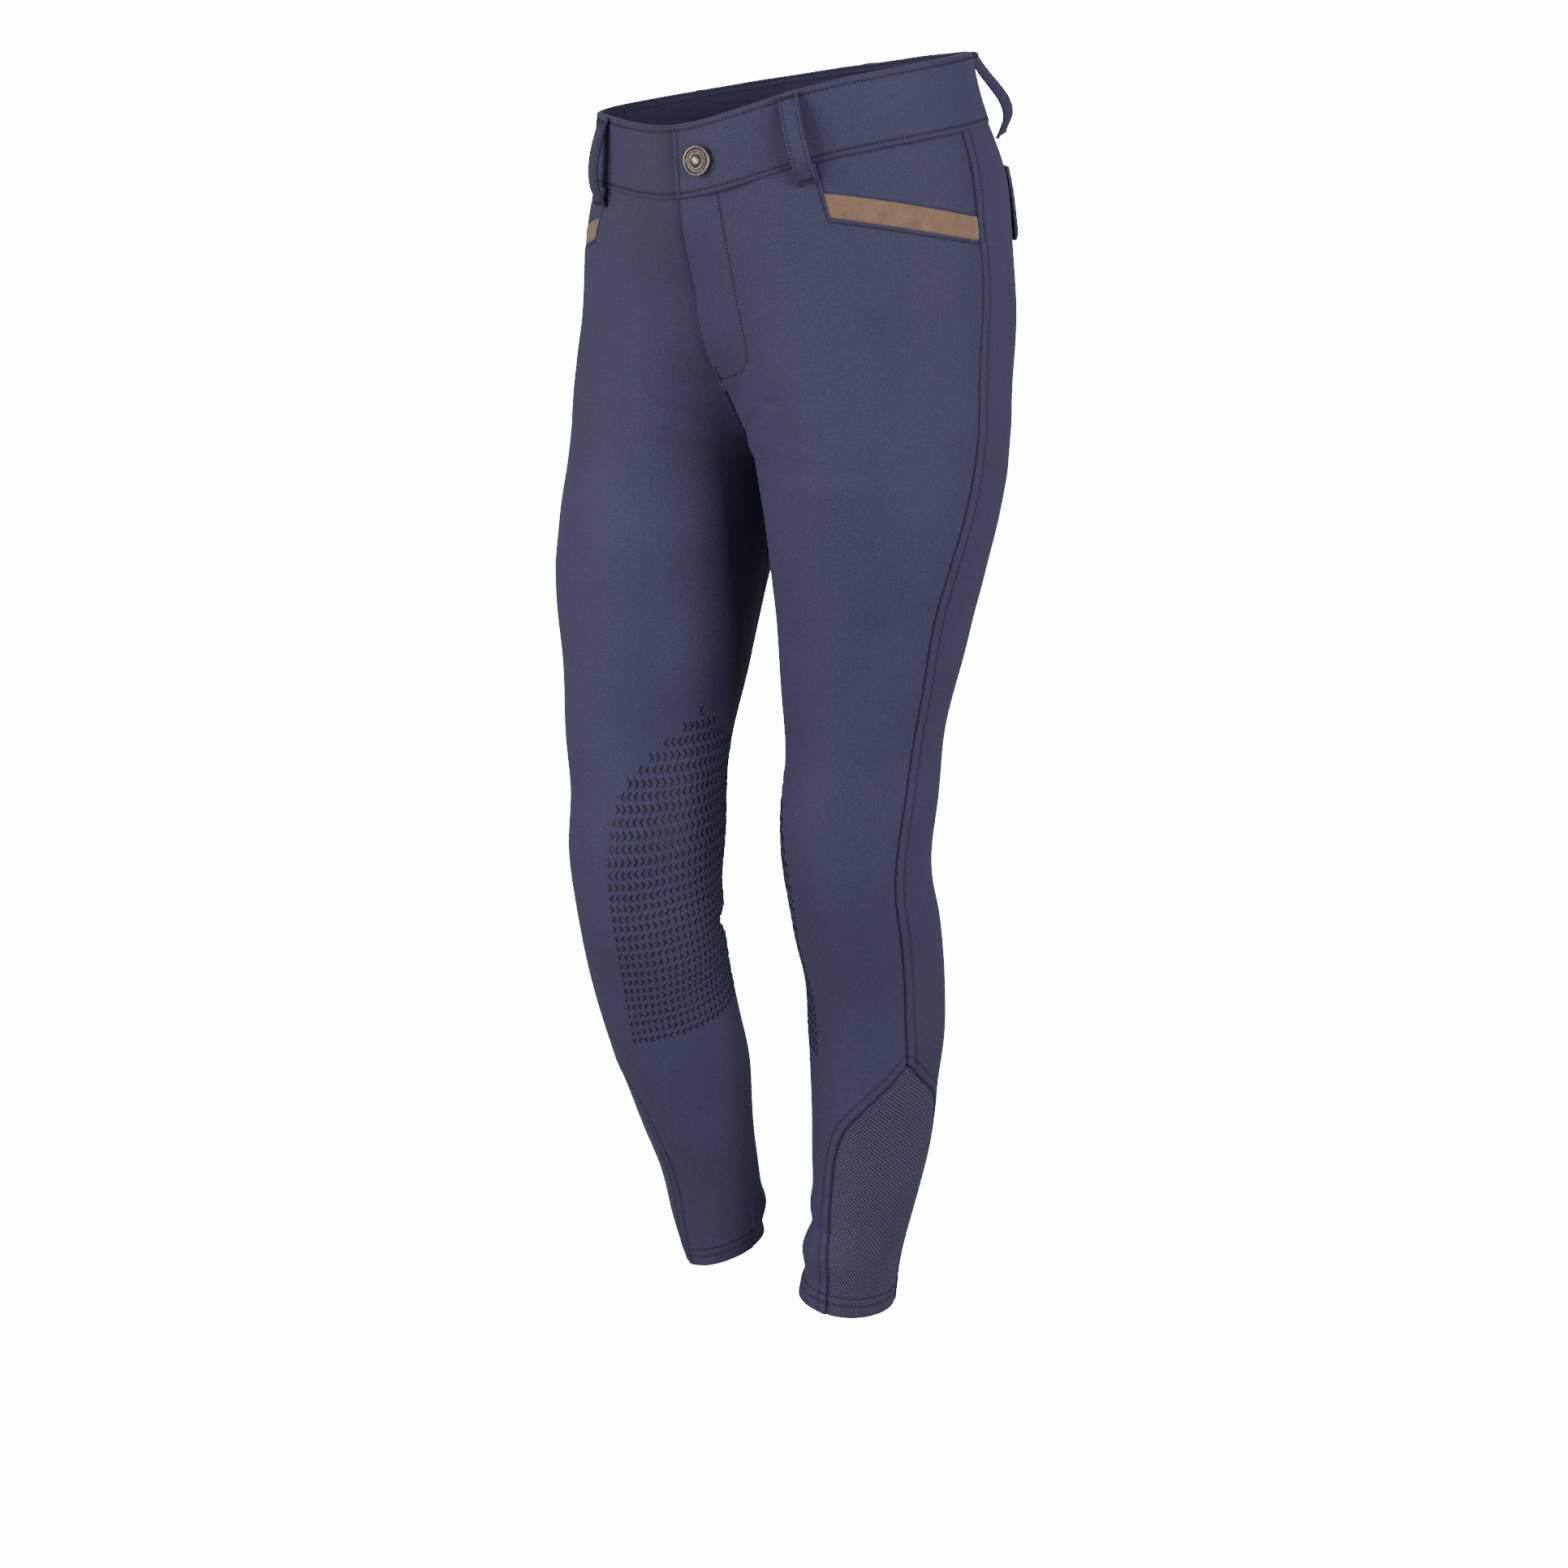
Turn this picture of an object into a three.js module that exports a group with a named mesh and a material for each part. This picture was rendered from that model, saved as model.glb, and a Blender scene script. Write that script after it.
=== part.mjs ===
// Riding breeches in their worn shape with nobody in them: a stretch-cloth trunk and two legs
// that end above the ankle, standing with the weight on the left leg and the right knee forward.
// Millimetres, +Z up, the front faces -Y and the wearer's left is +X.
// The origin is the middle of the waist opening, half-way up the waistband.
import * as THREE from 'three';

// Cloth
const clothThickness = 1.5;
const hemThickness = 2.5;
const hemStep = 3; // height over which the hem thickens
const seamGap = 0.3;
const meshRecess = 0.3; // how far the inset lies below the cloth round it

// Heights of the main lines, before the waist's tilt is added
const waistTop = 20.5;
const waistSeam = -20.5;
const crotch = -197;
const hemEdge = -772;
const hemDepth = 14;

// The waist line is higher on the left and at the back, and dips at the centre front
const waistRiseToLeft = 0.138;
const waistRiseToBack = 0.09;
const frontDip = 12.5;
const frontDipSpread = 0.165; // share of the way from the centre front to the centre back
const tiltStart = -20;

// Waistband, lap and fly
const bandThickness = 2.6;
const bandProud = 1.0;
const bandLapRise = 3.2;
const bandLapFlat = 26;
const bandLapEnd = 58;
const bandUnderlap = 25;
const flyBottom = -148;
const flyEdge = 1.6; // how far short of the middle the left front ends
const flyUnderlap = 5;
const flyLapRise = 2;
const flyLapFlat = 9;
const flyLapEnd = 34;
const flyRunOut = 8; // the lap rises within this height
const flyOpenEnd = -94; // above this the left front's edge lies over the right front

// Pocket mouth, as shares of the way round from the centre front
const pocketTopAcross = 0.214;
const pocketCornerAcross = 0.232;
const pocketCorner = -54;
const pocketEnd = -80;
const trimHeight = 13.2;
const yokeRecess = 0.8;
const trimRecess = 0.2;
const trimGap = 0.45; // between the trim and the mouth's slanting edge

// Belt loops
const loopWidth = 11;
const loopThickness = 2;
const loopTop = 19.5;
const loopBottom = -31;
const loopFoot = 4; // the lower end lies flat on the leg panel over this height
const loopSlump = 1.25; // above 1 the strap stands off most below its middle
const loopFlatness = 0.8; // below 1 its bulge is flatter than a half sine

// Back pocket flaps
const flapThickness = 2.2;
const flapTop = -48;
const flapBottom = -86;
const flapFrom = 0.672;
const flapTo = 0.905;
const flapLift = 1;
const flapCorner = 0.14; // rounded share of the width at each lower corner
const flapCornerRise = 9;

// Button
const buttonFromEdge = 16.8;
const buttonBelowTop = 22;
const buttonProfile = [
  { radius: 0, height: 0 },
  { radius: 4, height: 0 },
  { radius: 4, height: 1.1 },
  { radius: 7.8, height: 1.1 },
  { radius: 8.5, height: 1.8 },
  { radius: 8.5, height: 2.2 },
  { radius: 7.8, height: 2.9 },
  { radius: 6.7, height: 3.1 },
  { radius: 6.2, height: 2.9 },
  { radius: 4, height: 3.6 },
  { radius: 2, height: 4.1 },
  { radius: 0, height: 4.2 },
];
const buttonSegments = 24;

// How many rows and columns of points a piece has
const frontColumns = 14;
const backColumns = 11;
const insetColumns = 9;
const pocketColumns = 9;
const yokeRows = 5;
const trimRows = 3;
const bandRows = 4;
const bandColumns = 37;
const loopRows = 15;
const flapRows = 7;
const flapColumns = 11;

// Trunk: half its width, its depth to the front and back of the hip line, and how far the
// centre seams have turned under towards the crotch, from 0 to 1
const trunkSections = [
  { height: 32, side: 123, front: 89, back: 81, lean: -3.6, frontTurn: 0, backTurn: 0, sideTurn: 0 },
  { height: 21, side: 124, front: 90, back: 84, lean: -3, frontTurn: 0, backTurn: 0, sideTurn: 0 },
  { height: -20, side: 132, front: 92, back: 102, lean: 0, frontTurn: 0, backTurn: 0, sideTurn: 0 },
  { height: -50, side: 139, front: 94, back: 116, lean: 0, frontTurn: 0.06, backTurn: 0, sideTurn: 0 },
  { height: -83, side: 144, front: 94, back: 125, lean: 0, frontTurn: 0.15, backTurn: 0.02, sideTurn: 0 },
  { height: -117, side: 147, front: 95, back: 127, lean: 0, frontTurn: 0.26, backTurn: 0.05, sideTurn: 0.03 },
  { height: -139, side: 149, front: 97, back: 126, lean: 0, frontTurn: 0.37, backTurn: 0.09, sideTurn: 0.08 },
  { height: -152, side: 150, front: 98, back: 125, lean: 0, frontTurn: 0.44, backTurn: 0.14, sideTurn: 0.14 },
  { height: -164, side: 151, front: 100, back: 124, lean: 0, frontTurn: 0.52, backTurn: 0.21, sideTurn: 0.21 },
  { height: -175, side: 152, front: 102, back: 124, lean: 0, frontTurn: 0.6, backTurn: 0.31, sideTurn: 0.29 },
  { height: -184, side: 152, front: 105, back: 124, lean: 0, frontTurn: 0.69, backTurn: 0.44, sideTurn: 0.38 },
  { height: -191, side: 152, front: 106, back: 124, lean: 0, frontTurn: 0.8, backTurn: 0.62, sideTurn: 0.45 },
  { height: -197, side: 152, front: 108, back: 125, lean: 0, frontTurn: 1, backTurn: 1, sideTurn: 0.52 },
  { height: -215, side: 152, front: 112, back: 126, lean: 0, frontTurn: 1, backTurn: 1, sideTurn: 0.7 },
  { height: -240, side: 151, front: 114, back: 124, lean: 0, frontTurn: 1, backTurn: 1, sideTurn: 0.88 },
  { height: -275, side: 146, front: 110, back: 112, lean: 0, frontTurn: 1, backTurn: 1, sideTurn: 1 },
];

// Legs: the distances of the inner and outer face from the middle of the body, and the front
// and back faces along Y. The rows above the crotch only guide how the trunk narrows into a leg.
const leftLegSections = [
  { height: -100, inner: 7, outer: 150, front: -82, back: 88 },
  { height: -200, inner: 8, outer: 147.5, front: -76, back: 80 },
  { height: -215, inner: 9, outer: 146, front: -73, back: 76 },
  { height: -240, inner: 11, outer: 142.5, front: -70, back: 70 },
  { height: -270, inner: 15, outer: 138, front: -68, back: 62.5 },
  { height: -300, inner: 19, outer: 132.5, front: -66, back: 56 },
  { height: -340, inner: 22.5, outer: 126, front: -62, back: 48.5 },
  { height: -380, inner: 25, outer: 120.5, front: -60, back: 41 },
  { height: -420, inner: 24.5, outer: 117.5, front: -61.5, back: 37 },
  { height: -460, inner: 22.5, outer: 115, front: -58, back: 39.5 },
  { height: -500, inner: 22.5, outer: 112.5, front: -46, back: 50 },
  { height: -540, inner: 23, outer: 110, front: -34, back: 60 },
  { height: -580, inner: 22, outer: 107.5, front: -28, back: 64 },
  { height: -620, inner: 22, outer: 103.5, front: -26, back: 63.5 },
  { height: -660, inner: 24, outer: 98, front: -24, back: 60 },
  { height: -700, inner: 26.5, outer: 92, front: -24, back: 53 },
  { height: -740, inner: 26, outer: 88, front: -30, back: 41 },
  { height: -772, inner: 25, outer: 85, front: -34, back: 35 },
];
const rightLegSections = [
  { height: -100, inner: 6, outer: 150, front: -88, back: 82 },
  { height: -200, inner: 7, outer: 148, front: -92, back: 73 },
  { height: -215, inner: 7.5, outer: 145.5, front: -93, back: 63 },
  { height: -240, inner: 8.5, outer: 142.5, front: -95.5, back: 53 },
  { height: -270, inner: 9.5, outer: 141, front: -98, back: 44 },
  { height: -300, inner: 11, outer: 139, front: -101, back: 36 },
  { height: -340, inner: 14.5, outer: 133, front: -103, back: 22 },
  { height: -380, inner: 19.5, outer: 125.5, front: -103.5, back: 8 },
  { height: -420, inner: 21, outer: 119.5, front: -105, back: 0 },
  { height: -460, inner: 19.5, outer: 118, front: -108, back: -4 },
  { height: -500, inner: 20.5, outer: 114.5, front: -106, back: -8 },
  { height: -540, inner: 20.5, outer: 111, front: -99, back: -5 },
  { height: -580, inner: 19, outer: 109.5, front: -89, back: 5 },
  { height: -620, inner: 20, outer: 106, front: -77, back: 14 },
  { height: -660, inner: 23, outer: 98, front: -63, back: 19.5 },
  { height: -700, inner: 26.5, outer: 91, front: -47, back: 24 },
  { height: -740, inner: 28.5, outer: 86, front: -34.5, back: 28 },
  { height: -772, inner: 29.5, outer: 82, front: -27.5, back: 31 },
];

// Side seam and the two edges of the calf inset, as shares of the way round a leg
const sideSeamLine = [
  { height: -20, across: 0.5 },
  { height: -50, across: 0.511 },
  { height: -83, across: 0.514 },
  { height: -117, across: 0.506 },
  { height: -150, across: 0.493 },
  { height: -206, across: 0.468 },
  { height: -264, across: 0.459 },
  { height: -344, across: 0.457 },
  { height: -400, across: 0.455 },
  { height: -450, across: 0.444 },
  { height: -500, across: 0.439 },
  { height: -556, across: 0.43 },
  { height: -588, across: 0.433 },
];
const insetTop = -588;
const insetPointCut = 2.5; // the inset's solid starts this far below its point
const insetShiftFade = 40;

// The inseam starts at the crotch and moves round to the back of the inner thigh
const inseamLine = [
  { height: -197, behind: 0 },
  { height: -230, behind: 0.02 },
  { height: -290, behind: 0.065 },
  { height: -370, behind: 0.11 },
  { height: -460, behind: 0.14 },
  { height: -560, behind: 0.15 },
  { height: -772, behind: 0.15 },
];
const insetLines = [
  { height: -588, front: 0.432, back: 0.434 },
  { height: -594, front: 0.415, back: 0.456 },
  { height: -602, front: 0.392, back: 0.487 },
  { height: -611, front: 0.362, back: 0.525 },
  { height: -622, front: 0.328, back: 0.566 },
  { height: -636, front: 0.29, back: 0.598 },
  { height: -656, front: 0.262, back: 0.611 },
  { height: -684, front: 0.252, back: 0.612 },
  { height: -714, front: 0.258, back: 0.61 },
  { height: -745, front: 0.28, back: 0.607 },
  { height: -772, front: 0.296, back: 0.605 },
];

// The largest folds: where each is, its half length round the leg and half height, its tilt
// (rise for each millimetre round) and how far it stands out, or in where it is negative
const folds = [
  { side: 'left', across: 0.1, height: -704, long: 30, high: 8, tilt: 0.1, out: 1.2 },
  { side: 'left', across: 0.12, height: -719, long: 34, high: 6, tilt: 0.12, out: -1.8 },
  { side: 'left', across: 0.1, height: -738, long: 36, high: 9, tilt: 0.1, out: 2 },
  { side: 'left', across: 0.12, height: -754, long: 34, high: 6, tilt: 0.05, out: -1.6 },
  { side: 'right', across: 0.93, height: -748, long: 30, high: 9, tilt: -0.2, out: 3 },
  { side: 'right', across: 0.9, height: -764, long: 28, high: 6, tilt: -0.2, out: -1.6 },
  { side: 'right', across: 0.87, height: -516, long: 26, high: 6, tilt: 0.25, out: -3 },
  { side: 'right', across: 0.82, height: -501, long: 30, high: 8, tilt: 0.15, out: 1.8 },
  { side: 'left', across: 0.82, height: -478, long: 30, high: 6, tilt: -0.15, out: -2 },
  { side: 'left', across: 0.78, height: -492, long: 30, high: 7, tilt: -0.1, out: 1.6 },
  { side: 'left', across: 0.06, height: -178, long: 26, high: 6, tilt: 0.5, out: -1.4 },
  { side: 'right', across: 0.06, height: -178, long: 26, high: 6, tilt: 0.5, out: -1.4 },
  { side: 'left', across: 0.93, height: -212, long: 30, high: 7, tilt: -0.5, out: -1.5 },
  { side: 'right', across: 0.93, height: -212, long: 30, high: 7, tilt: -0.5, out: -1.5 },
];

const sides = [
  { name: 'left', sign: 1, leg: leftLegSections, insetTurn: 0, hemRiseOut: -0.092, hemRiseBack: -0.077 },
  { name: 'right', sign: -1, leg: rightLegSections, insetTurn: 0.016, hemRiseOut: -0.237, hemRiseBack: 0.2 },
];
const hemTiltStart = -650;
const archDepth = 12; // how far below the crotch the inner thighs have parted fully
const seamShareFade = 60; // below the crotch, the two legs' seams part company over this depth
const valleySoftness = 0.3;
const turnBlendFrom = 0.3; // the front's turn gives way to the back's between these shares
const turnBlendTo = 0.7;
const turnFocus = 6; // powers that keep a shape near the seams, more closely the higher
const seamFocus = 4;
const archFocus = 16;

const materials = {
  cloth: new THREE.MeshStandardMaterial({ color: 0x474861, roughness: 0.85, metalness: 0 }),
  band: new THREE.MeshStandardMaterial({ color: 0x48495f, roughness: 0.85, metalness: 0 }),
  mesh: new THREE.MeshStandardMaterial({ color: 0x40415b, roughness: 0.9, metalness: 0 }),
  trim: new THREE.MeshStandardMaterial({ color: 0x8b7261, roughness: 0.95, metalness: 0 }),
  metal: new THREE.MeshStandardMaterial({ color: 0x8a7f76, roughness: 0.4, metalness: 0.9 }),
};

const lerp = THREE.MathUtils.lerp;

function smooth(from, to, value) {
  return THREE.MathUtils.smoothstep((value - from) / (to - from), 0, 1);
}

function portion(from, to, value) {
  return THREE.MathUtils.clamp((value - from) / (to - from), 0, 1);
}

// A smooth line through one column of a table, read by height.
function column(table, key) {
  const count = table.length;
  const slope = table.map((row, i) => {
    const above = table[Math.max(i - 1, 0)];
    const below = table[Math.min(i + 1, count - 1)];
    return (above[key] - below[key]) / (above.height - below.height);
  });
  return (height) => {
    if (height >= table[0].height) return table[0][key];
    if (height <= table[count - 1].height) return table[count - 1][key];
    const i = table.findIndex((row) => row.height <= height);
    const a = table[i - 1];
    const b = table[i];
    const span = b.height - a.height;
    const t = (height - a.height) / span;
    const pull = t * t * (3 - 2 * t);
    const leave = t * (1 - t) * (1 - t) * span * slope[i - 1];
    const arrive = t * t * (t - 1) * span * slope[i];
    return lerp(a[key], b[key], pull) + leave + arrive;
  };
}

function columns(table) {
  const keys = Object.keys(table[0]).filter((key) => key !== 'height');
  return Object.fromEntries(keys.map((key) => [key, column(table, key)]));
}

const trunk = columns(trunkSections);
const sideSeam = column(sideSeamLine, 'across');
const inset = columns(insetLines);
const inseam = column(inseamLine, 'behind');
for (const side of sides) side.section = columns(side.leg);
const [left, right] = sides;

// How far the waist line lies above its level height at a point of the trunk.
function waistTilt(across, x, y, height) {
  const dip = frontDip * Math.exp(-((across / frontDipSpread) ** 2));
  const share = smooth(crotch, tiltStart, height);
  return share * (waistRiseToLeft * x + waistRiseToBack * y - dip);
}

function foldRelief(side, across, height, roundLength) {
  let out = 0;
  for (const fold of folds) {
    if (fold.side !== side.name) continue;
    const round = (across - fold.across) * roundLength;
    const up = height - fold.height - fold.tilt * round;
    out += fold.out * Math.exp(-((round / fold.long) ** 2) - (up / fold.high) ** 2);
  }
  return out;
}

// The body's cloth without folds or laps. across runs from the centre front or inseam (0)
// past the side (0.5) to the centre back or inseam (1); height is the level height.
function bareSurface(side, across, height) {
  const { section, sign } = side;
  const innerFace = section.inner(height);
  const outerFace = section.outer(height);
  const front = section.front(height);
  const back = section.back(height);
  const middleX = (innerFace + outerFace) / 2;
  const middleY = (front + back) / 2;
  const halfWidth = (outerFace - innerFace) / 2;
  const halfDepth = (back - front) / 2;
  const towardsBack = smooth(turnBlendFrom, turnBlendTo, across);
  const seamTurn = lerp(trunk.frontTurn(height), trunk.backTurn(height), towardsBack);
  const turn = lerp(trunk.sideTurn(height), seamTurn, Math.cos(Math.PI * across) ** turnFocus);

  const legAngle = 2 * Math.PI * across;
  const valley = valleySoftness * (1 - turn);
  const swing = Math.sqrt(Math.sin(legAngle) ** 2 + valley * valley) - valley;
  const towardsFront = across < 0.5 ? swing : -swing;
  const seamShare = 1 - smooth(0, seamShareFade, crotch - height);
  const atSeam = Math.cos(Math.PI * across) ** seamFocus * seamShare;
  const arch = 1 - Math.sqrt(portion(crotch, crotch - archDepth, height));
  const atArch = arch * Math.cos(Math.PI * across) ** archFocus;
  const legX = middleX - halfWidth * Math.cos(legAngle) - innerFace * atArch;
  const legY = middleY - halfDepth * towardsFront - middleY * atSeam;

  const trunkAngle = Math.PI * across;
  const depth = across < 0.5 ? trunk.front(height) : trunk.back(height);
  const trunkX = trunk.side(height) * Math.sin(trunkAngle);
  const trunkY = -depth * Math.cos(trunkAngle);

  const x = sign * (lerp(trunkX, legX, turn) + seamGap / 2) + trunk.lean(height);
  const y = lerp(trunkY, legY, turn);
  const hemShare = smooth(hemTiltStart, hemEdge, height);
  const hemTilt = side.hemRiseOut * (sign * x - middleX) + side.hemRiseBack * (y - middleY);
  const z = height + waistTilt(across, x, y, height) + hemShare * hemTilt;
  return new THREE.Vector3(x, y, z);
}

const acrossStep = 0.002;
const heightStep = 0.6;

// The outward direction of the cloth, and how many millimetres one whole way round is there.
// Short of the centre front it is the other side's cloth, and short of the inseam the same leg's.
function facing(side, across, height) {
  if (across < 0 && height > crotch) return facing(side === left ? right : left, -across, height);
  if (across < 0) return facing(side, across + 1, height);
  const back = across > 0.5 ? -1 : 1; // steps away from the centre seams
  const here = bareSurface(side, across, height);
  const round = bareSurface(side, across + back * acrossStep, height).sub(here);
  round.multiplyScalar(back);
  const up = bareSurface(side, across, height + heightStep);
  up.sub(bareSurface(side, across, height - heightStep));
  const roundLength = round.length() / acrossStep;
  const normal = round.cross(up).normalize().multiplyScalar(side.sign);
  return { here, normal, roundLength };
}

// A point of the cloth's outer face, moved out along its normal.
function surface(side, across, height, out = 0) {
  const { here, normal, roundLength } = facing(side, across, height);
  const round = across < 0 ? across + 1 : across;
  return here.addScaledVector(normal, out + foldRelief(side, round, height, roundLength));
}

// across, moved by a distance in millimetres.
function shifted(side, across, height, distance) {
  return across + distance / facing(side, across, height).roundLength;
}

// The share of the way round at which the trunk is this far from the middle.
function acrossAt(distance, height) {
  return Math.asin(distance / trunk.side(height)) / Math.PI;
}

// A closed wall between two grids of points, outer[row][column] and inner[row][column].
function wall(outer, inner) {
  const rows = outer.length;
  const cols = outer[0].length;
  const points = [...outer.flat(), ...inner.flat()];
  const index = [];
  const out = (i, j) => i * cols + j;
  const inn = (i, j) => rows * cols + i * cols + j;
  const quad = (a, b, c, d) => index.push(a, b, c, a, c, d);
  for (let i = 0; i < rows - 1; i++) {
    for (let j = 0; j < cols - 1; j++) {
      quad(out(i, j), out(i + 1, j), out(i + 1, j + 1), out(i, j + 1));
      quad(inn(i, j), inn(i, j + 1), inn(i + 1, j + 1), inn(i + 1, j));
    }
    quad(out(i, 0), inn(i, 0), inn(i + 1, 0), out(i + 1, 0));
    quad(out(i, cols - 1), out(i + 1, cols - 1), inn(i + 1, cols - 1), inn(i, cols - 1));
  }
  for (let j = 0; j < cols - 1; j++) {
    quad(out(0, j), out(0, j + 1), inn(0, j + 1), inn(0, j));
    quad(out(rows - 1, j), inn(rows - 1, j), inn(rows - 1, j + 1), out(rows - 1, j + 1));
  }
  const geometry = new THREE.BufferGeometry().setFromPoints(points);
  geometry.setIndex(index);
  return geometry;
}

// Turns a solid's faces round, for the pieces of the right side, whose grids run the other way.
function faceOut(geometry, sign) {
  if (sign < 0) {
    const index = geometry.getIndex();
    for (let i = 0; i < index.count; i += 3) {
      const kept = index.getX(i + 1);
      index.setX(i + 1, index.getX(i + 2));
      index.setX(i + 2, kept);
    }
  }
  geometry.computeVertexNormals();
  return geometry;
}

// A piece of cloth on the body. place(s, t) gives { across, height, out, thick } for the
// outer face, with s from its front edge to its back edge and t from its top to its bottom.
function clothPiece(name, material, side, downs, rounds, place) {
  const outer = [];
  const inner = [];
  for (const t of downs) {
    const outerRow = [];
    const innerRow = [];
    for (let j = 0; j < rounds; j++) {
      const { across, height, out, thick } = place(j / (rounds - 1), t);
      outerRow.push(surface(side, across, height, out));
      innerRow.push(surface(side, across, height, out - thick));
    }
    outer.push(outerRow);
    inner.push(innerRow);
  }
  const mesh = new THREE.Mesh(faceOut(wall(outer, inner), side.sign), material);
  mesh.name = name;
  return mesh;
}

function steps(count) {
  return Array.from({ length: count }, (_, i) => i / (count - 1));
}

// Heights down a whole leg panel: each stretch ends at a height and is cut into equal steps,
// short ones where the pocket, the crotch and the inset turn.
function panelHeights() {
  const stretches = [
    { end: pocketCorner, count: 3 },
    { end: pocketEnd, count: 6 },
    { end: -140, count: 4 },
    { end: -185, count: 4 },
    { end: crotch, count: 3 },
    { end: crotch - 4, count: 2 },
    { end: -230, count: 3 },
    { end: -300, count: 2 },
    { end: -480, count: 5 },
    { end: -530, count: 5 },
    { end: insetTop - seamGap, count: 2 },
    { end: -636, count: 4 },
    { end: -695, count: 3 },
    { end: hemEdge + hemDepth, count: 7 },
    { end: hemEdge, count: 2 },
  ];
  const heights = [waistSeam - seamGap / 2];
  for (const { end, count } of stretches) {
    const start = heights[heights.length - 1];
    for (let i = 1; i <= count; i++) heights.push(lerp(start, end, i / count));
  }
  return heights;
}

function clothDepth(height) {
  const hemTop = hemEdge + hemDepth;
  return lerp(clothThickness, hemThickness, smooth(hemTop, hemTop - hemStep, height));
}

function pocketFrontEdge(height) {
  return lerp(pocketTopAcross, pocketCornerAcross, portion(waistSeam, pocketCorner, height));
}

// The front panel's outer edge: the pocket mouth, then the side seam, then the calf inset.
function frontPanelEdge(side, height) {
  if (height > pocketCorner) return pocketFrontEdge(height);
  if (height > pocketEnd) {
    const along = (height - pocketCorner) / (pocketEnd - pocketCorner);
    return lerp(pocketCornerAcross, sideSeam(pocketEnd), along);
  }
  return height > insetTop ? sideSeam(height) : inset.front(height) + insetShift(side, height);
}

function backPanelEdge(side, height) {
  return height > insetTop ? sideSeam(height) : inset.back(height) + insetShift(side, height);
}

// The right lower leg is turned a little, and its inset with it.
function insetShift(side, height) {
  return side.insetTurn * smooth(insetTop, insetTop - insetShiftFade, height);
}

// The left front rises over the right one at the fly and is level with it elsewhere.
function flyRise(side, across, height) {
  if (side === right) return 0;
  const share = smooth(flyBottom - flyRunOut, flyBottom, height);
  return flyLapRise * share * (1 - smooth(flyLapFlat, flyLapEnd, fromMiddle(across, height)));
}

function fromMiddle(across, height) {
  return trunk.side(height) * Math.sin(Math.PI * Math.abs(across));
}

// The panel's edge at the centre front, and below the crotch at the inseam.
function frontPanelStart(side, height) {
  if (height <= crotch) return shifted(side, -inseam(height), height, seamGap / 2);
  const share = smooth(flyOpenEnd, flyOpenEnd + flyRunOut, height);
  return acrossAt(share * (side === left ? flyEdge : -flyUnderlap), height);
}

function backPanelEnd(side, height) {
  return height > crotch ? 1 : shifted(side, 1 - inseam(height), height, -seamGap / 2);
}

function frontPanel(side) {
  const heights = panelHeights();
  return clothPiece(`front_${side.name}`, materials.cloth, side, heights, frontColumns, (s, height) => {
    const edge = shifted(side, frontPanelEdge(side, height), height, -seamGap / 2);
    const across = lerp(frontPanelStart(side, height), edge, s);
    return { across, height, out: flyRise(side, across, height), thick: clothDepth(height) };
  });
}

function backPanel(side) {
  const heights = panelHeights();
  return clothPiece(`back_${side.name}`, materials.cloth, side, heights, backColumns, (s, height) => {
    const edge = shifted(side, backPanelEdge(side, height), height, seamGap / 2);
    const across = lerp(edge, backPanelEnd(side, height), s);
    return { across, height, out: 0, thick: clothDepth(height) };
  });
}

function calfInset(side) {
  const name = `calf_mesh_${side.name}`;
  const top = insetTop - insetPointCut;
  const heights = [top, ...panelHeights().filter((height) => height < top)];
  return clothPiece(name, materials.mesh, side, heights, insetColumns, (s, height) => {
    const front = shifted(side, frontPanelEdge(side, height), height, seamGap / 2);
    const back = shifted(side, backPanelEdge(side, height), height, -seamGap / 2);
    const thick = clothDepth(height) - meshRecess;
    return { across: lerp(front, back, s), height, out: -meshRecess, thick };
  });
}

// A piece in the pocket corner, between two lines that slant down to the side seam.
function pocketPiece(name, material, side, rows, topLine, bottomLine, recess) {
  return clothPiece(name, material, side, steps(rows), pocketColumns, (s, t) => {
    const height = lerp(topLine(s), bottomLine(s), t);
    const front = shifted(side, pocketFrontEdge(height), height, seamGap / 2);
    const back = shifted(side, sideSeam(height), height, -seamGap / 2);
    return { across: lerp(front, back, s), height, out: -recess, thick: clothThickness };
  });
}

function mouthLine(s) {
  return lerp(pocketCorner, pocketEnd, s);
}

function pocketYoke(side) {
  const name = `pocket_yoke_${side.name}`;
  const top = () => waistSeam - seamGap / 2;
  const bottom = (s) => mouthLine(s) + trimHeight + seamGap / 2;
  return pocketPiece(name, materials.cloth, side, yokeRows, top, bottom, yokeRecess);
}

function pocketTrim(side) {
  const name = `pocket_trim_${side.name}`;
  const top = (s) => mouthLine(s) + trimHeight - seamGap / 2;
  const bottom = (s) => mouthLine(s) + trimGap;
  return pocketPiece(name, materials.trim, side, trimRows, top, bottom, trimRecess);
}

// The left half rises over the right one at the centre front.
function bandRise(side, across, height) {
  if (side === right || across > 0.5) return 0;
  return bandLapRise * (1 - smooth(bandLapFlat, bandLapEnd, fromMiddle(across, height)));
}

function waistband(side) {
  const name = `waistband_${side.name}`;
  return clothPiece(name, materials.band, side, steps(bandRows), bandColumns, (s, t) => {
    const height = lerp(waistTop, waistSeam + seamGap / 2, t);
    const start = side === right ? -acrossAt(bandUnderlap, height) : 0;
    const across = lerp(start, 1, s);
    const out = bandProud + bandRise(side, across, height);
    return { across, height, out, thick: bandThickness };
  });
}

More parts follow.
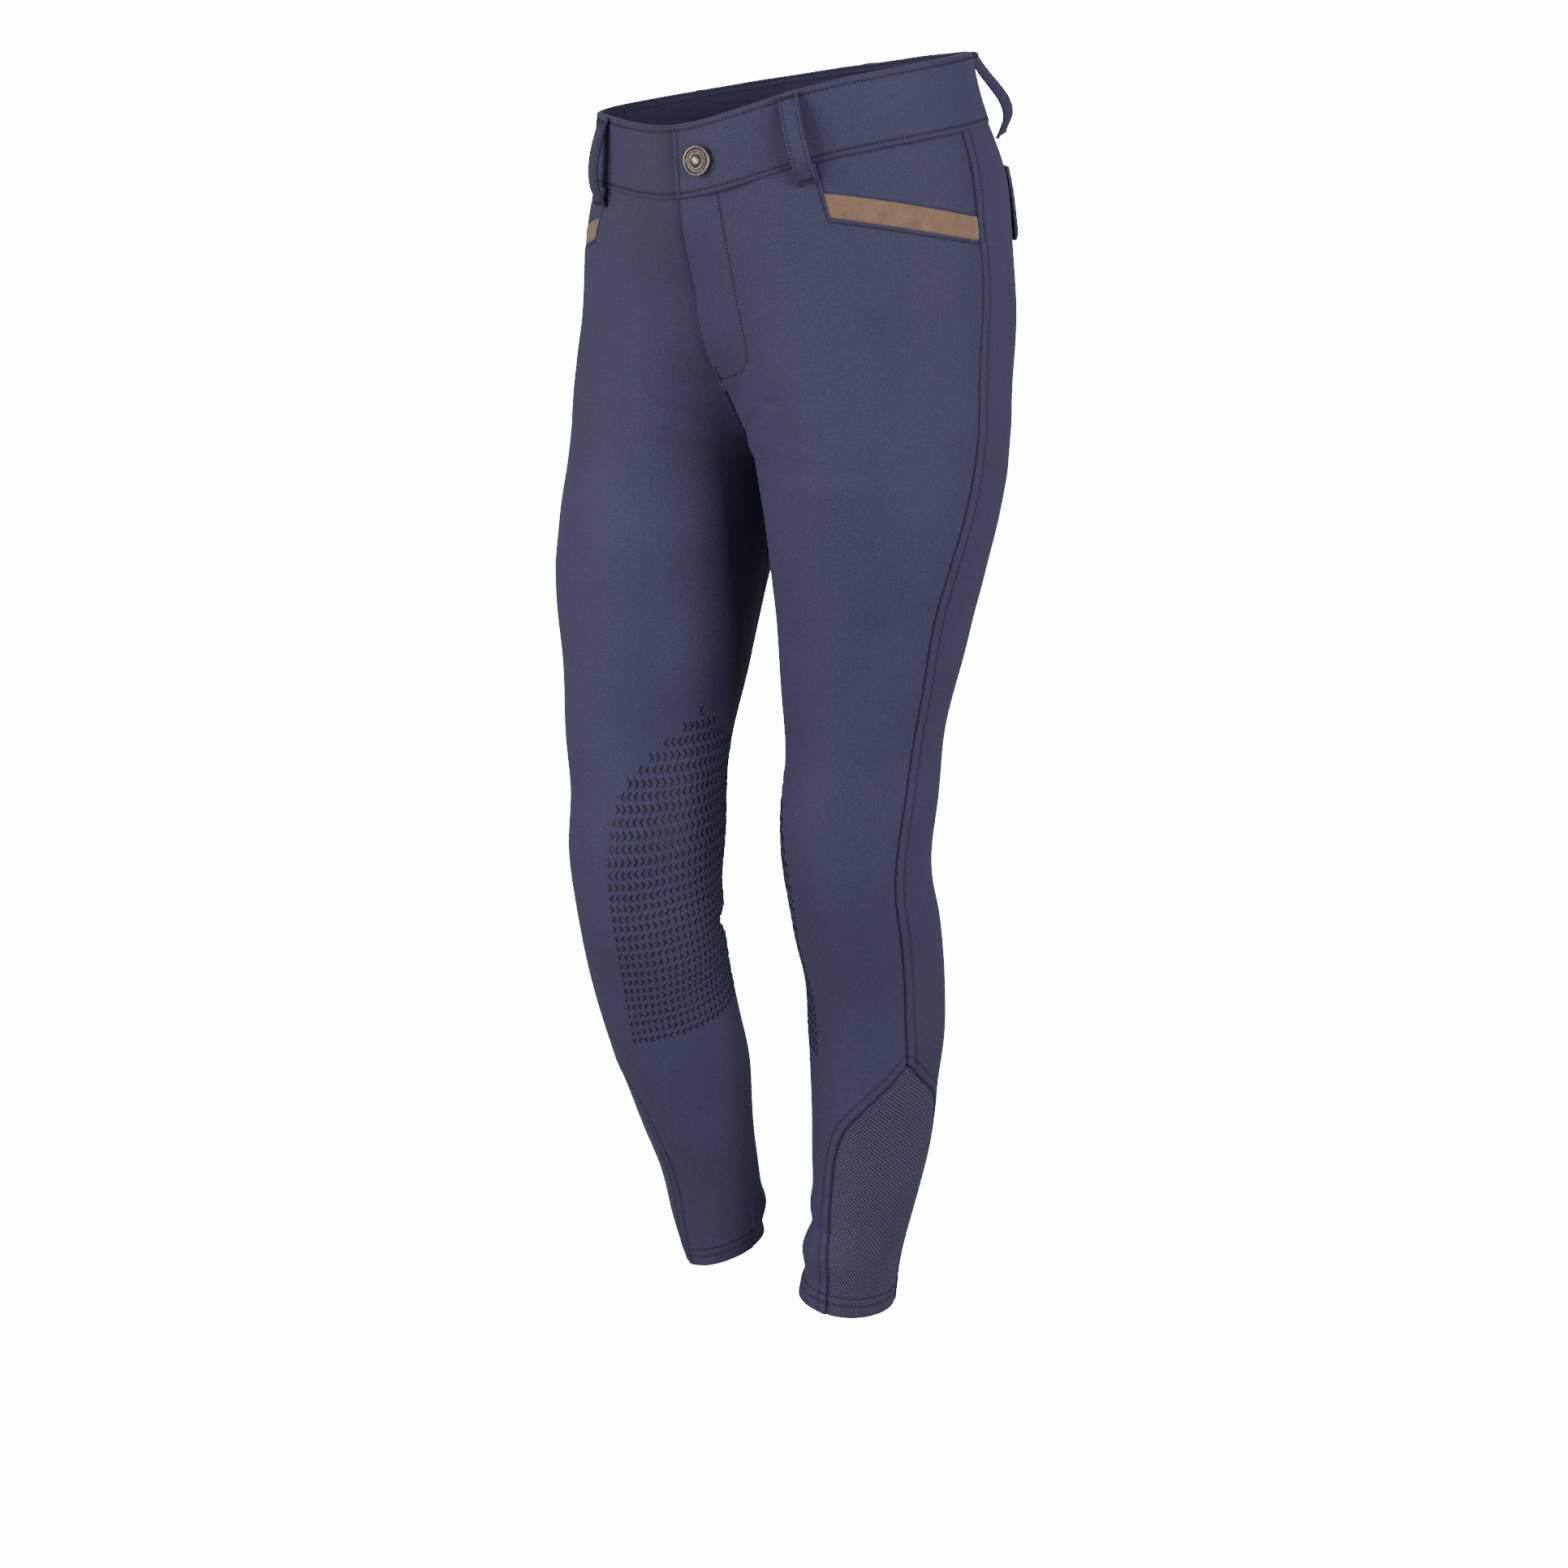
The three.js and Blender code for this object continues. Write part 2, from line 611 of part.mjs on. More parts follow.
// A belt loop: a flat strap sewn down at both ends, that stands off the waistband between them.
function beltLoop({ name, side, top, bottom, bulge }) {
  const outer = [];
  const inner = [];
  const up = surface(side, top, loopTop).sub(surface(side, bottom, loopBottom)).normalize();
  for (const t of steps(loopRows)) {
    const height = lerp(loopTop, loopBottom, t);
    const across = lerp(top, bottom, t);
    const { here, normal } = facing(side, across, height);
    const sideways = new THREE.Vector3().crossVectors(up, normal).normalize();
    const onBand = smooth(loopBottom + loopFoot, waistSeam, height);
    const seat = seamGap + bandProud * onBand + bandRise(side, across, height) * onBand;
    const stand = seat + bulge * Math.sin(Math.PI * t ** loopSlump) ** loopFlatness;
    const across3 = [-1, 0, 1].map((step) => (step * loopWidth) / 2);
    inner.push(across3.map((w) => here.clone().addScaledVector(normal, stand).addScaledVector(sideways, w)));
    const face = stand + loopThickness;
    outer.push(across3.map((w) => here.clone().addScaledVector(normal, face).addScaledVector(sideways, w)));
  }
  const mesh = new THREE.Mesh(faceOut(wall(outer, inner), 1), materials.band);
  mesh.name = name;
  return mesh;
}

function backFlap(side) {
  const name = `back_pocket_flap_${side.name}`;
  return clothPiece(name, materials.cloth, side, steps(flapRows), flapColumns, (s, t) => {
    const nearEnd = Math.min(s, 1 - s) / flapCorner;
    const corner = nearEnd < 1 ? 1 - Math.sqrt(1 - (1 - nearEnd) ** 2) : 0;
    const bottom = flapBottom + corner * flapCornerRise;
    const height = lerp(flapTop, bottom, t);
    const out = seamGap + flapThickness + flapLift * t ** 1.5;
    return { across: lerp(flapFrom, flapTo, s), height, out, thick: flapThickness };
  });
}

function waistButton() {
  const profile = buttonProfile.map(({ radius, height }) => new THREE.Vector2(radius, height));
  const geometry = new THREE.LatheGeometry(profile, buttonSegments);
  const height = waistTop - buttonBelowTop;
  const across = acrossAt(buttonFromEdge, height);
  const { here, normal } = facing(left, across, height);
  const mesh = new THREE.Mesh(geometry, materials.metal);
  const stand = bandProud + bandLapRise + seamGap;
  mesh.position.copy(here.addScaledVector(normal, stand));
  mesh.quaternion.setFromUnitVectors(new THREE.Vector3(0, 1, 0), normal);
  mesh.name = 'waist_button';
  return mesh;
}

const breeches = new THREE.Group();
for (const side of sides) {
  breeches.add(frontPanel(side), backPanel(side), calfInset(side));
  breeches.add(pocketYoke(side), pocketTrim(side), backFlap(side), waistband(side));
}
const beltLoops = [
  { name: 'belt_loop_front_left', side: left, top: 0.187, bottom: 0.203, bulge: 6.5 },
  { name: 'belt_loop_front_right', side: right, top: 0.205, bottom: 0.205, bulge: 6 },
  { name: 'belt_loop_side_left', side: left, top: 0.69, bottom: 0.69, bulge: 8.5 },
  { name: 'belt_loop_side_right', side: right, top: 0.69, bottom: 0.69, bulge: 10 },
  { name: 'belt_loop_back', side: left, top: 1, bottom: 1, bulge: 8 },
];
for (const loop of beltLoops) breeches.add(beltLoop(loop));
breeches.add(waistButton());

export default breeches;
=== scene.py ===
# Riding breeches with nobody in them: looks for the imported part.
# Tables and sizes are in millimetres, as on a maker's sheet; meshes are made in metres.
# +Z up, the front faces -Y and the wearer's left is +X.
import math

import bmesh
import bpy
import numpy as np
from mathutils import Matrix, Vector
from mathutils.bvhtree import BVHTree
from mathutils.kdtree import KDTree


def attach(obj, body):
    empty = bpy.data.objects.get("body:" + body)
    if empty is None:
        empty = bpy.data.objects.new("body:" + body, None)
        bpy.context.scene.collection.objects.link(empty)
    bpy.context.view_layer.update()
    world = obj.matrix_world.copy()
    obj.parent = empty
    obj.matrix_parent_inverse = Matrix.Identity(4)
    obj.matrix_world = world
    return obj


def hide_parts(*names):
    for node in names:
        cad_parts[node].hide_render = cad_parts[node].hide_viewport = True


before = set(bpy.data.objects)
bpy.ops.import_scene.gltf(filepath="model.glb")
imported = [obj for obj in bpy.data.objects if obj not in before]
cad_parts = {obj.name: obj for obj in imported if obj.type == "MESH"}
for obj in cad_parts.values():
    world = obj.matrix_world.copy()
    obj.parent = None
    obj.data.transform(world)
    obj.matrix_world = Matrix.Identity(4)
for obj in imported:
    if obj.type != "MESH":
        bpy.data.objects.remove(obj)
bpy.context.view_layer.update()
print("frame ready with", len(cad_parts), "nodes")
mm = 0.001

waist = {
    "top": 20.5,
    "seam": -20.5,
    "riseToLeft": 0.138,
    "riseToBack": 0.09,
    "frontDip": 12.5,
    "frontDipSpread": 0.165,
    "tiltStart": -20,
}
crotch = {
    "height": -197,
    "archDepth": 12,
    "seamShareFade": 60,
    "valleySoftness": 0.3,
    "turnBlend": (0.3, 0.7),
    "turnFocus": 6,
    "seamFocus": 4,
    "archFocus": 40,
}
hem = {"edge": -772, "depth": 14, "tiltStart": -650, "thick": 2.5, "foldRun": 3}
insetTop = -588
insetFade = {"turn": 40, "back": 20, "tip": 1.5}

trunkTable = (
    "height side front back lean frontTurn backTurn sideTurn",
    [
        (32, 123, 89, 81, -3.6, 0, 0, 0),
        (21, 124, 90, 84, -3, 0, 0, 0),
        (-20, 132, 92, 102, 0, 0, 0, 0),
        (-50, 139, 94, 116, 0, 0.06, 0, 0),
        (-83, 144, 94, 125, 0, 0.15, 0.02, 0),
        (-117, 147, 95, 127, 0, 0.26, 0.05, 0.03),
        (-139, 149, 97, 126, 0, 0.37, 0.09, 0.08),
        (-152, 150, 98, 125, 0, 0.44, 0.14, 0.14),
        (-164, 151, 100, 124, 0, 0.52, 0.21, 0.21),
        (-175, 152, 102, 124, 0, 0.6, 0.31, 0.29),
        (-184, 152, 105, 124, 0, 0.69, 0.44, 0.38),
        (-191, 152, 106, 124, 0, 0.8, 0.62, 0.45),
        (-197, 152, 108, 125, 0, 1, 1, 0.52),
        (-215, 152, 112, 126, 0, 1, 1, 0.7),
        (-240, 151, 114, 124, 0, 1, 1, 0.88),
        (-275, 146, 110, 112, 0, 1, 1, 1),
    ],
)
leftLegTable = (
    "height inner outer front back",
    [
        (-100, 7, 150, -82, 88),
        (-200, 8, 147.5, -76, 80),
        (-215, 9, 146, -73, 76),
        (-240, 11, 142.5, -70, 70),
        (-270, 15, 138, -68, 62.5),
        (-300, 19, 132.5, -66, 56),
        (-340, 22.5, 126, -62, 48.5),
        (-380, 25, 120.5, -60, 41),
        (-420, 24.5, 117.5, -61.5, 37),
        (-460, 22.5, 115, -58, 39.5),
        (-500, 22.5, 112.5, -46, 50),
        (-540, 23, 110, -34, 60),
        (-580, 22, 107.5, -28, 64),
        (-620, 22, 103.5, -26, 63.5),
        (-660, 24, 98, -24, 60),
        (-700, 26.5, 92, -24, 53),
        (-740, 26, 88, -30, 41),
        (-772, 25, 85, -34, 35),
    ],
)
rightLegTable = (
    "height inner outer front back",
    [
        (-100, 6, 150, -88, 82),
        (-200, 7, 148, -92, 73),
        (-215, 7.5, 145.5, -93, 63),
        (-240, 8.5, 142.5, -95.5, 53),
        (-270, 9.5, 141, -98, 44),
        (-300, 11, 139, -101, 36),
        (-340, 14.5, 133, -103, 22),
        (-380, 19.5, 125.5, -103.5, 8),
        (-420, 21, 119.5, -105, 0),
        (-460, 19.5, 118, -108, -4),
        (-500, 20.5, 114.5, -106, -8),
        (-540, 20.5, 111, -99, -5),
        (-580, 19, 109.5, -89, 5),
        (-620, 20, 106, -77, 14),
        (-660, 23, 98, -63, 19.5),
        (-700, 26.5, 91, -47, 24),
        (-740, 28.5, 86, -34.5, 28),
        (-772, 29.5, 82, -27.5, 31),
    ],
)
sideSeamTable = (
    "height across",
    [
        (-20, 0.5), (-50, 0.511), (-83, 0.514), (-117, 0.506), (-150, 0.493),
        (-206, 0.468), (-264, 0.459), (-344, 0.457), (-400, 0.455), (-450, 0.444),
        (-500, 0.439), (-556, 0.43), (-588, 0.433),
    ],
)
inseamTable = (
    "height behind",
    [
        (-197, 0), (-230, 0.02), (-290, 0.065), (-370, 0.11),
        (-460, 0.14), (-560, 0.15), (-772, 0.15),
    ],
)
insetTable = (
    "height front back",
    [
        (-588, 0.432, 0.434), (-594, 0.415, 0.456), (-602, 0.392, 0.487),
        (-611, 0.362, 0.525), (-622, 0.328, 0.566), (-636, 0.29, 0.598),
        (-656, 0.262, 0.611), (-684, 0.252, 0.612), (-714, 0.258, 0.61),
        (-745, 0.28, 0.607), (-772, 0.296, 0.605),
    ],
)
# How much the cloth stands out past the pattern, from height to height
easeTable = (
    "height out",
    [
        (21, 0), (-110, 0), (-170, 1.4), (-230, 3.4), (-265, 2.4), (-300, 0.9), (-480, 0.7),
        (-772, 0.4),
    ],
)
# The largest folds: side, across, height, half length round the leg, half height, tilt, and how
# far they stand out
folds = [
    ("left", 0.1, -704, 30, 8, 0.1, 1.2),
    ("left", 0.12, -719, 34, 6, 0.12, -1.8),
    ("left", 0.1, -738, 36, 9, 0.1, 2),
    ("left", 0.12, -754, 34, 6, 0.05, -1.6),
    ("right", 0.93, -748, 30, 9, -0.2, 3),
    ("right", 0.9, -764, 28, 6, -0.2, -1.6),
    ("right", 0.87, -516, 26, 6, 0.25, -3),
    ("right", 0.82, -501, 30, 8, 0.15, 1.8),
    ("left", 0.82, -478, 30, 6, -0.15, -2),
    ("left", 0.78, -492, 30, 7, -0.1, 1.6),
    ("left", 0.142, -155.5, 7, 3, 0.1, -1.1),
    ("left", 0.455, -212, 4, 12, -0.1, -0.7),
    ("left", 0.06, -178, 26, 6, 0.5, -1.4),
    ("right", 0.06, -178, 26, 6, 0.5, -1.4),
    ("left", 0.93, -212, 30, 7, -0.5, -1.5),
    ("right", 0.93, -212, 30, 7, -0.5, -1.5),
]


def portion(start, end, value):
    return np.clip((value - start) / (end - start), 0, 1)


def smooth(start, end, value):
    t = portion(start, end, value)
    return t * t * (3 - 2 * t)


def lerp(a, b, t):
    return a + (b - a) * t


# A hump one high, down to about a third at the distance half
def bell(distance, half):
    return np.exp(-((distance / half) ** 2))


# A share that dies away over a length
def fade(distance, share, length):
    return share * np.exp(-distance / length)


def unit(v):
    return v / np.maximum(np.linalg.norm(v, axis=-1, keepdims=True), 1e-9)


# A smooth line through each column of a table, read by height
def columnsOf(table):
    names, rows = table
    values = np.array(rows, float).T
    heights = values[0]
    above = np.maximum(np.arange(len(heights)) - 1, 0)
    below = np.minimum(np.arange(len(heights)) + 1, len(heights) - 1)

    def reader(column):
        slopes = (column[above] - column[below]) / (heights[above] - heights[below])

        def read(height):
            h = np.clip(height, heights[-1], heights[0])
            i = np.clip(np.searchsorted(-heights, -h), 1, len(heights) - 1)
            span = heights[i] - heights[i - 1]
            t = (h - heights[i - 1]) / span
            pull = t * t * (3 - 2 * t)
            leave = t * (1 - t) * (1 - t) * span * slopes[i - 1]
            arrive = t * t * (t - 1) * span * slopes[i]
            return lerp(column[i - 1], column[i], pull) + leave + arrive

        return read

    return {name: reader(column) for name, column in zip(names.split()[1:], values[1:])}


trunk = columnsOf(trunkTable)
sideSeam = columnsOf(sideSeamTable)["across"]
inseam = columnsOf(inseamTable)["behind"]
inset = columnsOf(insetTable)
ease = columnsOf(easeTable)["out"]
left = {
    "name": "left", "sign": 1, "leg": columnsOf(leftLegTable),
    "insetTurn": 0, "hemRiseOut": -0.092, "hemRiseBack": -0.077, "pocketShift": 0,
    "insetBackShift": -0.011, "gripTurn": -0.035,
}
right = {
    "name": "right", "sign": -1, "leg": columnsOf(rightLegTable),
    "insetTurn": 0.016, "hemRiseOut": -0.237, "hemRiseBack": 0.2, "pocketShift": -0.017,
    "insetBackShift": 0, "gripTurn": 0,
}
left["other"], right["other"] = right, left
sides = (left, right)
halfSeam = 0.15  # half the gap between the two sides at the centre front and back


# The body's cloth without folds. across runs from the centre front or inseam (0) past the
# side (0.5) to the centre back or inseam (1); height is the level height, before the tilts.
def bareSurface(side, across, height):
    leg = side["leg"]
    inner, outer, front, back = (leg[name](height) for name in ("inner", "outer", "front", "back"))
    middleX, middleY = (inner + outer) / 2, (front + back) / 2
    halfWidth, halfDepth = (outer - inner) / 2, (back - front) / 2
    towardsBack = smooth(*crotch["turnBlend"], across)
    seamTurn = lerp(trunk["frontTurn"](height), trunk["backTurn"](height), towardsBack)
    half = np.cos(np.pi * across)
    turn = lerp(trunk["sideTurn"](height), seamTurn, half ** crotch["turnFocus"])

    valley = crotch["valleySoftness"] * (1 - turn)
    swing = np.sqrt(np.sin(2 * np.pi * across) ** 2 + valley * valley) - valley
    swing = np.where(across < 0.5, swing, -swing)
    seamShare = 1 - smooth(0, crotch["seamShareFade"], crotch["height"] - height)
    atSeam = half ** crotch["seamFocus"] * seamShare
    arch = 1 - np.sqrt(portion(crotch["height"], crotch["height"] - crotch["archDepth"], height))
    atArch = arch * half ** crotch["archFocus"]
    legX = middleX - halfWidth * np.cos(2 * np.pi * across) - inner * atArch
    legY = middleY - halfDepth * swing - middleY * atSeam

    depth = np.where(across < 0.5, trunk["front"](height), trunk["back"](height))
    trunkX = trunk["side"](height) * np.sin(np.pi * across)
    x = side["sign"] * (lerp(trunkX, legX, turn) + halfSeam) + trunk["lean"](height)
    y = lerp(-depth * half, legY, turn)

    dip = waist["frontDip"] * bell(across, waist["frontDipSpread"])
    tiltShare = smooth(crotch["height"], waist["tiltStart"], height)
    tilt = tiltShare * (waist["riseToLeft"] * x + waist["riseToBack"] * y - dip)
    hemShare = smooth(hem["tiltStart"], hem["edge"], height)
    hemTilt = side["hemRiseOut"] * (side["sign"] * x - middleX) + side["hemRiseBack"] * (y - middleY)
    return np.stack([x, y, height + tilt + hemShare * hemTilt], axis=-1)


def foldRelief(side, across, height, roundLength):
    out = np.zeros_like(across)
    for name, place, level, long, high, tilt, rise in folds:
        if name == side["name"]:
            aside = (across - place) * roundLength
            up = height - level - tilt * aside
            out = out + rise * np.exp(-((aside / long) ** 2) - (up / high) ** 2)
    return out


def facingOn(side, across, height):
    step = 0.002
    rise = 0.6
    away = np.where(across > 0.5, -1.0, 1.0)
    here = bareSurface(side, across, height)
    aside = (bareSurface(side, across + away * step, height) - here) * away[..., None]
    up = bareSurface(side, across, height + rise) - bareSurface(side, across, height - rise)
    roundLength = np.linalg.norm(aside, axis=-1) / step
    upLength = np.linalg.norm(up, axis=-1) / (2 * rise)
    normal = unit(np.cross(aside, up)) * side["sign"]
    folded = here + normal * foldRelief(side, across, height, roundLength)[..., None]
    return [folded, normal, roundLength, upLength]


# The cloth's place and outward direction, and how many millimetres one whole way round and
# one step of height are there. Short of the centre front it is the other side's cloth, and
# short of the inseam the same leg's.
def facing(side, across, height):
    across, height = np.broadcast_arrays(np.asarray(across, float), np.asarray(height, float))
    crossed = (across < 0) & (height > crotch["height"])
    wrapped = (across < 0) & ~crossed
    place = np.where(crossed, -across, np.where(wrapped, across + 1, across))
    found = facingOn(side, place, height)
    if crossed.any():
        beyond = facingOn(side["other"], place, height)
        found = [np.where(crossed[..., None] if a.ndim > crossed.ndim else crossed, b, a)
                 for a, b in zip(found, beyond)]
    return found


def surface(side, across, height):
    return facing(side, across, height)[0]


# How far cloth of the trunk is from the centre, and the other way about
def fromMiddle(across, height):
    return trunk["side"](height) * np.sin(np.pi * across)


def acrossAt(distance, height):
    return np.arcsin(distance / trunk["side"](height)) / np.pi


# Materials

# In their dictionaries a noise is its scale, detail and roughness, a shade runs from dark
# places to light ones, and bump is its strength and depth.

def setSockets(tree, node, values):
    for key, value in values.items():
        if isinstance(value, bpy.types.NodeSocket):
            tree.links.new(value, node.inputs[key])
        else:
            node.inputs[key].default_value = value


def addNode(tree, kind, settings=(), **inputs):
    node = tree.nodes.new(kind)
    for key, value in dict(settings).items():
        setattr(node, key, value)
    setSockets(tree, node, {key.replace("_", " "): value for key, value in inputs.items()})
    return node


def paintNamed(name, color, finish):
    paint = bpy.data.materials.new(name)
    paint.use_nodes = True
    shader = paint.node_tree.nodes["Principled BSDF"]
    setSockets(paint.node_tree, shader, {"Base Color": (*color, 1), **finish})
    return paint, paint.node_tree, shader


def noise(tree, scale, detail, rough=0.5):
    place = addNode(tree, "ShaderNodeTexCoord").outputs["Object"]
    settings = {"Scale": scale, "Detail": detail, "Roughness": rough}
    return addNode(tree, "ShaderNodeTexNoise", Vector=place, **settings).outputs["Fac"]


def ramp(tree, value, low, high, toLow, toHigh):
    ends = {"From_Min": low, "From_Max": high, "To_Min": toLow, "To_Max": toHigh}
    return addNode(tree, "ShaderNodeMapRange", Value=value, **ends).outputs["Result"]


noiseSpan = (0.3, 0.7)  # nearly all of a noise lies between these


def mottled(tree, noiseValue, dark, light):
    return ramp(tree, noiseValue, *noiseSpan, dark, light)


def mathNode(tree, operation, *values):
    node = addNode(tree, "ShaderNodeMath", {"operation": operation})
    setSockets(tree, node, dict(enumerate(values)))
    return node.outputs[0]


def product(tree, first, *others):
    for value in others:
        first = mathNode(tree, "MULTIPLY", first, value)
    return first


def carried(tree, name):
    return addNode(tree, "ShaderNodeAttribute", {"attribute_name": name}).outputs["Fac"]


def finishPaint(tree, shader, color, shade, relief, strength, depth):
    shaded = addNode(tree, "ShaderNodeVectorMath", {"operation": "SCALE"}, Scale=shade)
    shaded.inputs[0].default_value = color
    bump = addNode(tree, "ShaderNodeBump", Height=relief, Strength=strength, Distance=depth)
    setSockets(tree, shader, {"Base Color": shaded.outputs["Vector"], "Normal": bump.outputs["Normal"]})


def weavePlace(tree):
    return addNode(tree, "ShaderNodeUVMap", {"uv_map": "clothUV"}).outputs["UV"]


# The light that is left where shade is painted: in the fold of a seam, along a row of stitches, under a
# lapped edge and at a pocket's sunk edges
def openShade(tree):
    return mathNode(tree, "SUBTRACT", 1.0, carried(tree, "dark"))


def wave(tree, vector, period, direction):
    settings = {"wave_type": "BANDS", "bands_direction": direction, "wave_profile": "SIN"}
    unevenness = {"Distortion": 1.5, "Detail": 1, "Detail_Scale": 2}
    scale = math.tau / (20 * period)  # at scale 1 the bands are tau / 20 apart
    node = addNode(tree, "ShaderNodeTexWave", settings, Vector=vector, Scale=scale, **unevenness)
    return node.outputs["Fac"]


navySheen = {"Sheen Roughness": 0.4, "Sheen Tint": (0.62, 0.66, 0.9, 1)}
cloth = {
    "color": (0.053, 0.051, 0.109),
    "finish": {"Roughness": 0.72, "Specular IOR Level": 0.3, "Sheen Weight": 0.1, **navySheen},
    "broad": (14, 3),
    "broadShade": (0.94, 1.06),
    "fine": (900, 3, 0.7),
    "fineShade": (0.8, 1.2),
    "fineRelief": 0.8,
    "weavePeriod": 0.9 * mm,
    "weaveShade": (0.92, 1.1),
    "bump": (0.6, 0.06 * mm),
}


def clothPaint(c, name, tone=1.0):
    color = [v * tone for v in c["color"]]
    paint, tree, shader = paintNamed(name, color, c["finish"])
    broad = mottled(tree, noise(tree, *c["broad"]), *c["broadShade"])
    fine = noise(tree, *c["fine"])
    weave = product(tree, *(wave(tree, weavePlace(tree), c["weavePeriod"], way) for way in "XY"))
    woven = ramp(tree, weave, 0, 1, *c["weaveShade"])
    shade = product(tree, broad, mottled(tree, fine, *c["fineShade"]), woven, openShade(tree))
    relief = mathNode(tree, "ADD", weave, product(tree, fine, c["fineRelief"]))
    finishPaint(tree, shader, color, shade, relief, *c["bump"])
    return paint


mesh = {
    "color": (0.079, 0.076, 0.16),
    "finish": {"Roughness": 0.75, "Sheen Weight": 0.08, **navySheen},
    "broad": (18, 2),
    "broadShade": (0.92, 1.08),
    "fine": (1100, 2),
    "fineShade": (0.8, 1.2),
    "fineRelief": 0.3,
    "holePitch": 2.0 * mm,
    "holeEdge": (0.24, 0.44),
    "holePaintedShade": 0.06,
    "holeUnevenness": 0.06,
    "turned": math.radians(45),
    "bump": (0.9, 0.25 * mm),
    "round": 236,
    "sunk": 0.3,
    "seamValley": (0.7, 1.2),
}


def meshPaint(c):
    paint, tree, shader = paintNamed("knittedMesh", c["color"], c["finish"])
    turned = addNode(tree, "ShaderNodeMapping", Vector=weavePlace(tree), Rotation=(0, 0, c["turned"]))
    grid = {"Scale": 1 / c["holePitch"], "Randomness": c["holeUnevenness"]}
    flat = {"voronoi_dimensions": "2D"}
    cells = addNode(tree, "ShaderNodeTexVoronoi", flat, Vector=turned.outputs["Vector"], **grid)
    hole = ramp(tree, cells.outputs["Distance"], *c["holeEdge"], 0, 1)
    fine = noise(tree, *c["fine"])
    broad = mottled(tree, noise(tree, *c["broad"]), *c["broadShade"])
    # Painted shade: the holes are darkened as the shaded inside of the leg that shows through them
    holes = ramp(tree, hole, 0, 1, c["holePaintedShade"], 1)
    shade = product(tree, holes, mottled(tree, fine, *c["fineShade"]), broad, openShade(tree))
    relief = mathNode(tree, "ADD", hole, product(tree, fine, c["fineRelief"]))
    finishPaint(tree, shader, c["color"], shade, relief, *c["bump"])
    return paint


suede = {
    "color": (0.255, 0.15, 0.098),
    "finish": {"Roughness": 0.95, "Sheen Weight": 0.4, "Sheen Tint": (0.9, 0.8, 0.7, 1)},
    "nap": (1400, 4, 0.75),
    "napShade": (0.78, 1.2),
    "brushed": (120, 3),
    "brushedShade": (0.86, 1.12),
    "bump": (0.8, 0.12 * mm),
}


def suedePaint(c):
    paint, tree, shader = paintNamed("tanSuede", c["color"], c["finish"])
    nap = noise(tree, *c["nap"])
    brushed = mottled(tree, noise(tree, *c["brushed"]), *c["brushedShade"])
    shade = product(tree, mottled(tree, nap, *c["napShade"]), brushed)
    finishPaint(tree, shader, c["color"], shade, nap, *c["bump"])
    return paint


navyThread = {
    "color": (0.007, 0.007, 0.022), "finish": {"Roughness": 0.5},
    "grain": (2500, 2), "grainShade": (0.75, 1.25), "bump": (0.5, 0.05 * mm),
}
siliconePrint = {
    "color": (0.006, 0.006, 0.02), "finish": {"Roughness": 0.45},
    "grain": (1600, 2), "grainShade": (0.85, 1.15), "bump": (0.3, 0.04 * mm),
}


def grainPaint(name, c):
    paint, tree, shader = paintNamed(name, c["color"], c["finish"])
    grain = noise(tree, *c["grain"])
    finishPaint(tree, shader, c["color"], mottled(tree, grain, *c["grainShade"]), grain, *c["bump"])
    return paint


metal = {
    "color": (0.3, 0.252, 0.208),
    "finish": {"Roughness": 0.32, "Metallic": 1.0},
    "wear": (420, 4, 0.7),
    "wearRoughness": (0.5, 0.26),
    "patina": (0.35, 0.65, 0.6, 1.35),
    "hollowShade": (0.16, 1.2),
    "grain": (2600, 2),
    "bump": (0.25, 0.04 * mm),
}


def metalPaint(c):
    paint, tree, shader = paintNamed("agedMetal", c["color"], c["finish"])
    wear = noise(tree, *c["wear"])
    hollows = ramp(tree, carried(tree, "worn"), 0, 1, *c["hollowShade"])
    shade = product(tree, ramp(tree, wear, *c["patina"]), hollows)
    setSockets(tree, shader, {"Roughness": mottled(tree, wear, *c["wearRoughness"])})
    finishPaint(tree, shader, c["color"], shade, noise(tree, *c["grain"]), *c["bump"])
    return paint


paints = {
    "cloth": clothPaint(cloth, "navyCloth"),
    "band": clothPaint(cloth, "navyBandCloth", 0.98),
    "mesh": meshPaint(mesh),
    "suede": suedePaint(suede),
    "thread": grainPaint("navyThread", navyThread),
    "grip": grainPaint("gripPrint", siliconePrint),
    "metal": metalPaint(metal),
}
print("materials ready")


# Making pieces

def placed(name, data):
    thing = bpy.data.objects.new(name, data)
    bpy.context.collection.objects.link(thing)
    return thing


# A piece from points in millimetres; values are what each point carries, by attribute
def addPiece(name, points, faces=(), edges=(), paint=None, uv=None, values=()):
    data = bpy.data.meshes.new(name)
    data.from_pydata((np.asarray(points) * mm).tolist(), edges, faces)
    if paint:
        data.polygons.foreach_set("use_smooth", [True] * len(data.polygons))
        data.materials.append(paint)
    if uv is not None:
        layer = data.uv_layers.new(name="clothUV")
        corners = np.empty(len(data.loops), int)
        data.loops.foreach_get("vertex_index", corners)
        layer.uv.foreach_set("vector", (uv[corners] * mm).ravel())
    for key, numbers in dict(values).items():
        numbers = np.asarray(numbers)
        kind, field = ("FLOAT", "value") if numbers.ndim == 1 else ("FLOAT_VECTOR", "vector")
        data.attributes.new(key, kind, "POINT").data.foreach_set(field, numbers.ravel())
    return placed(name, data)


rim = {"round": 0.35, "darkest": 0.85}


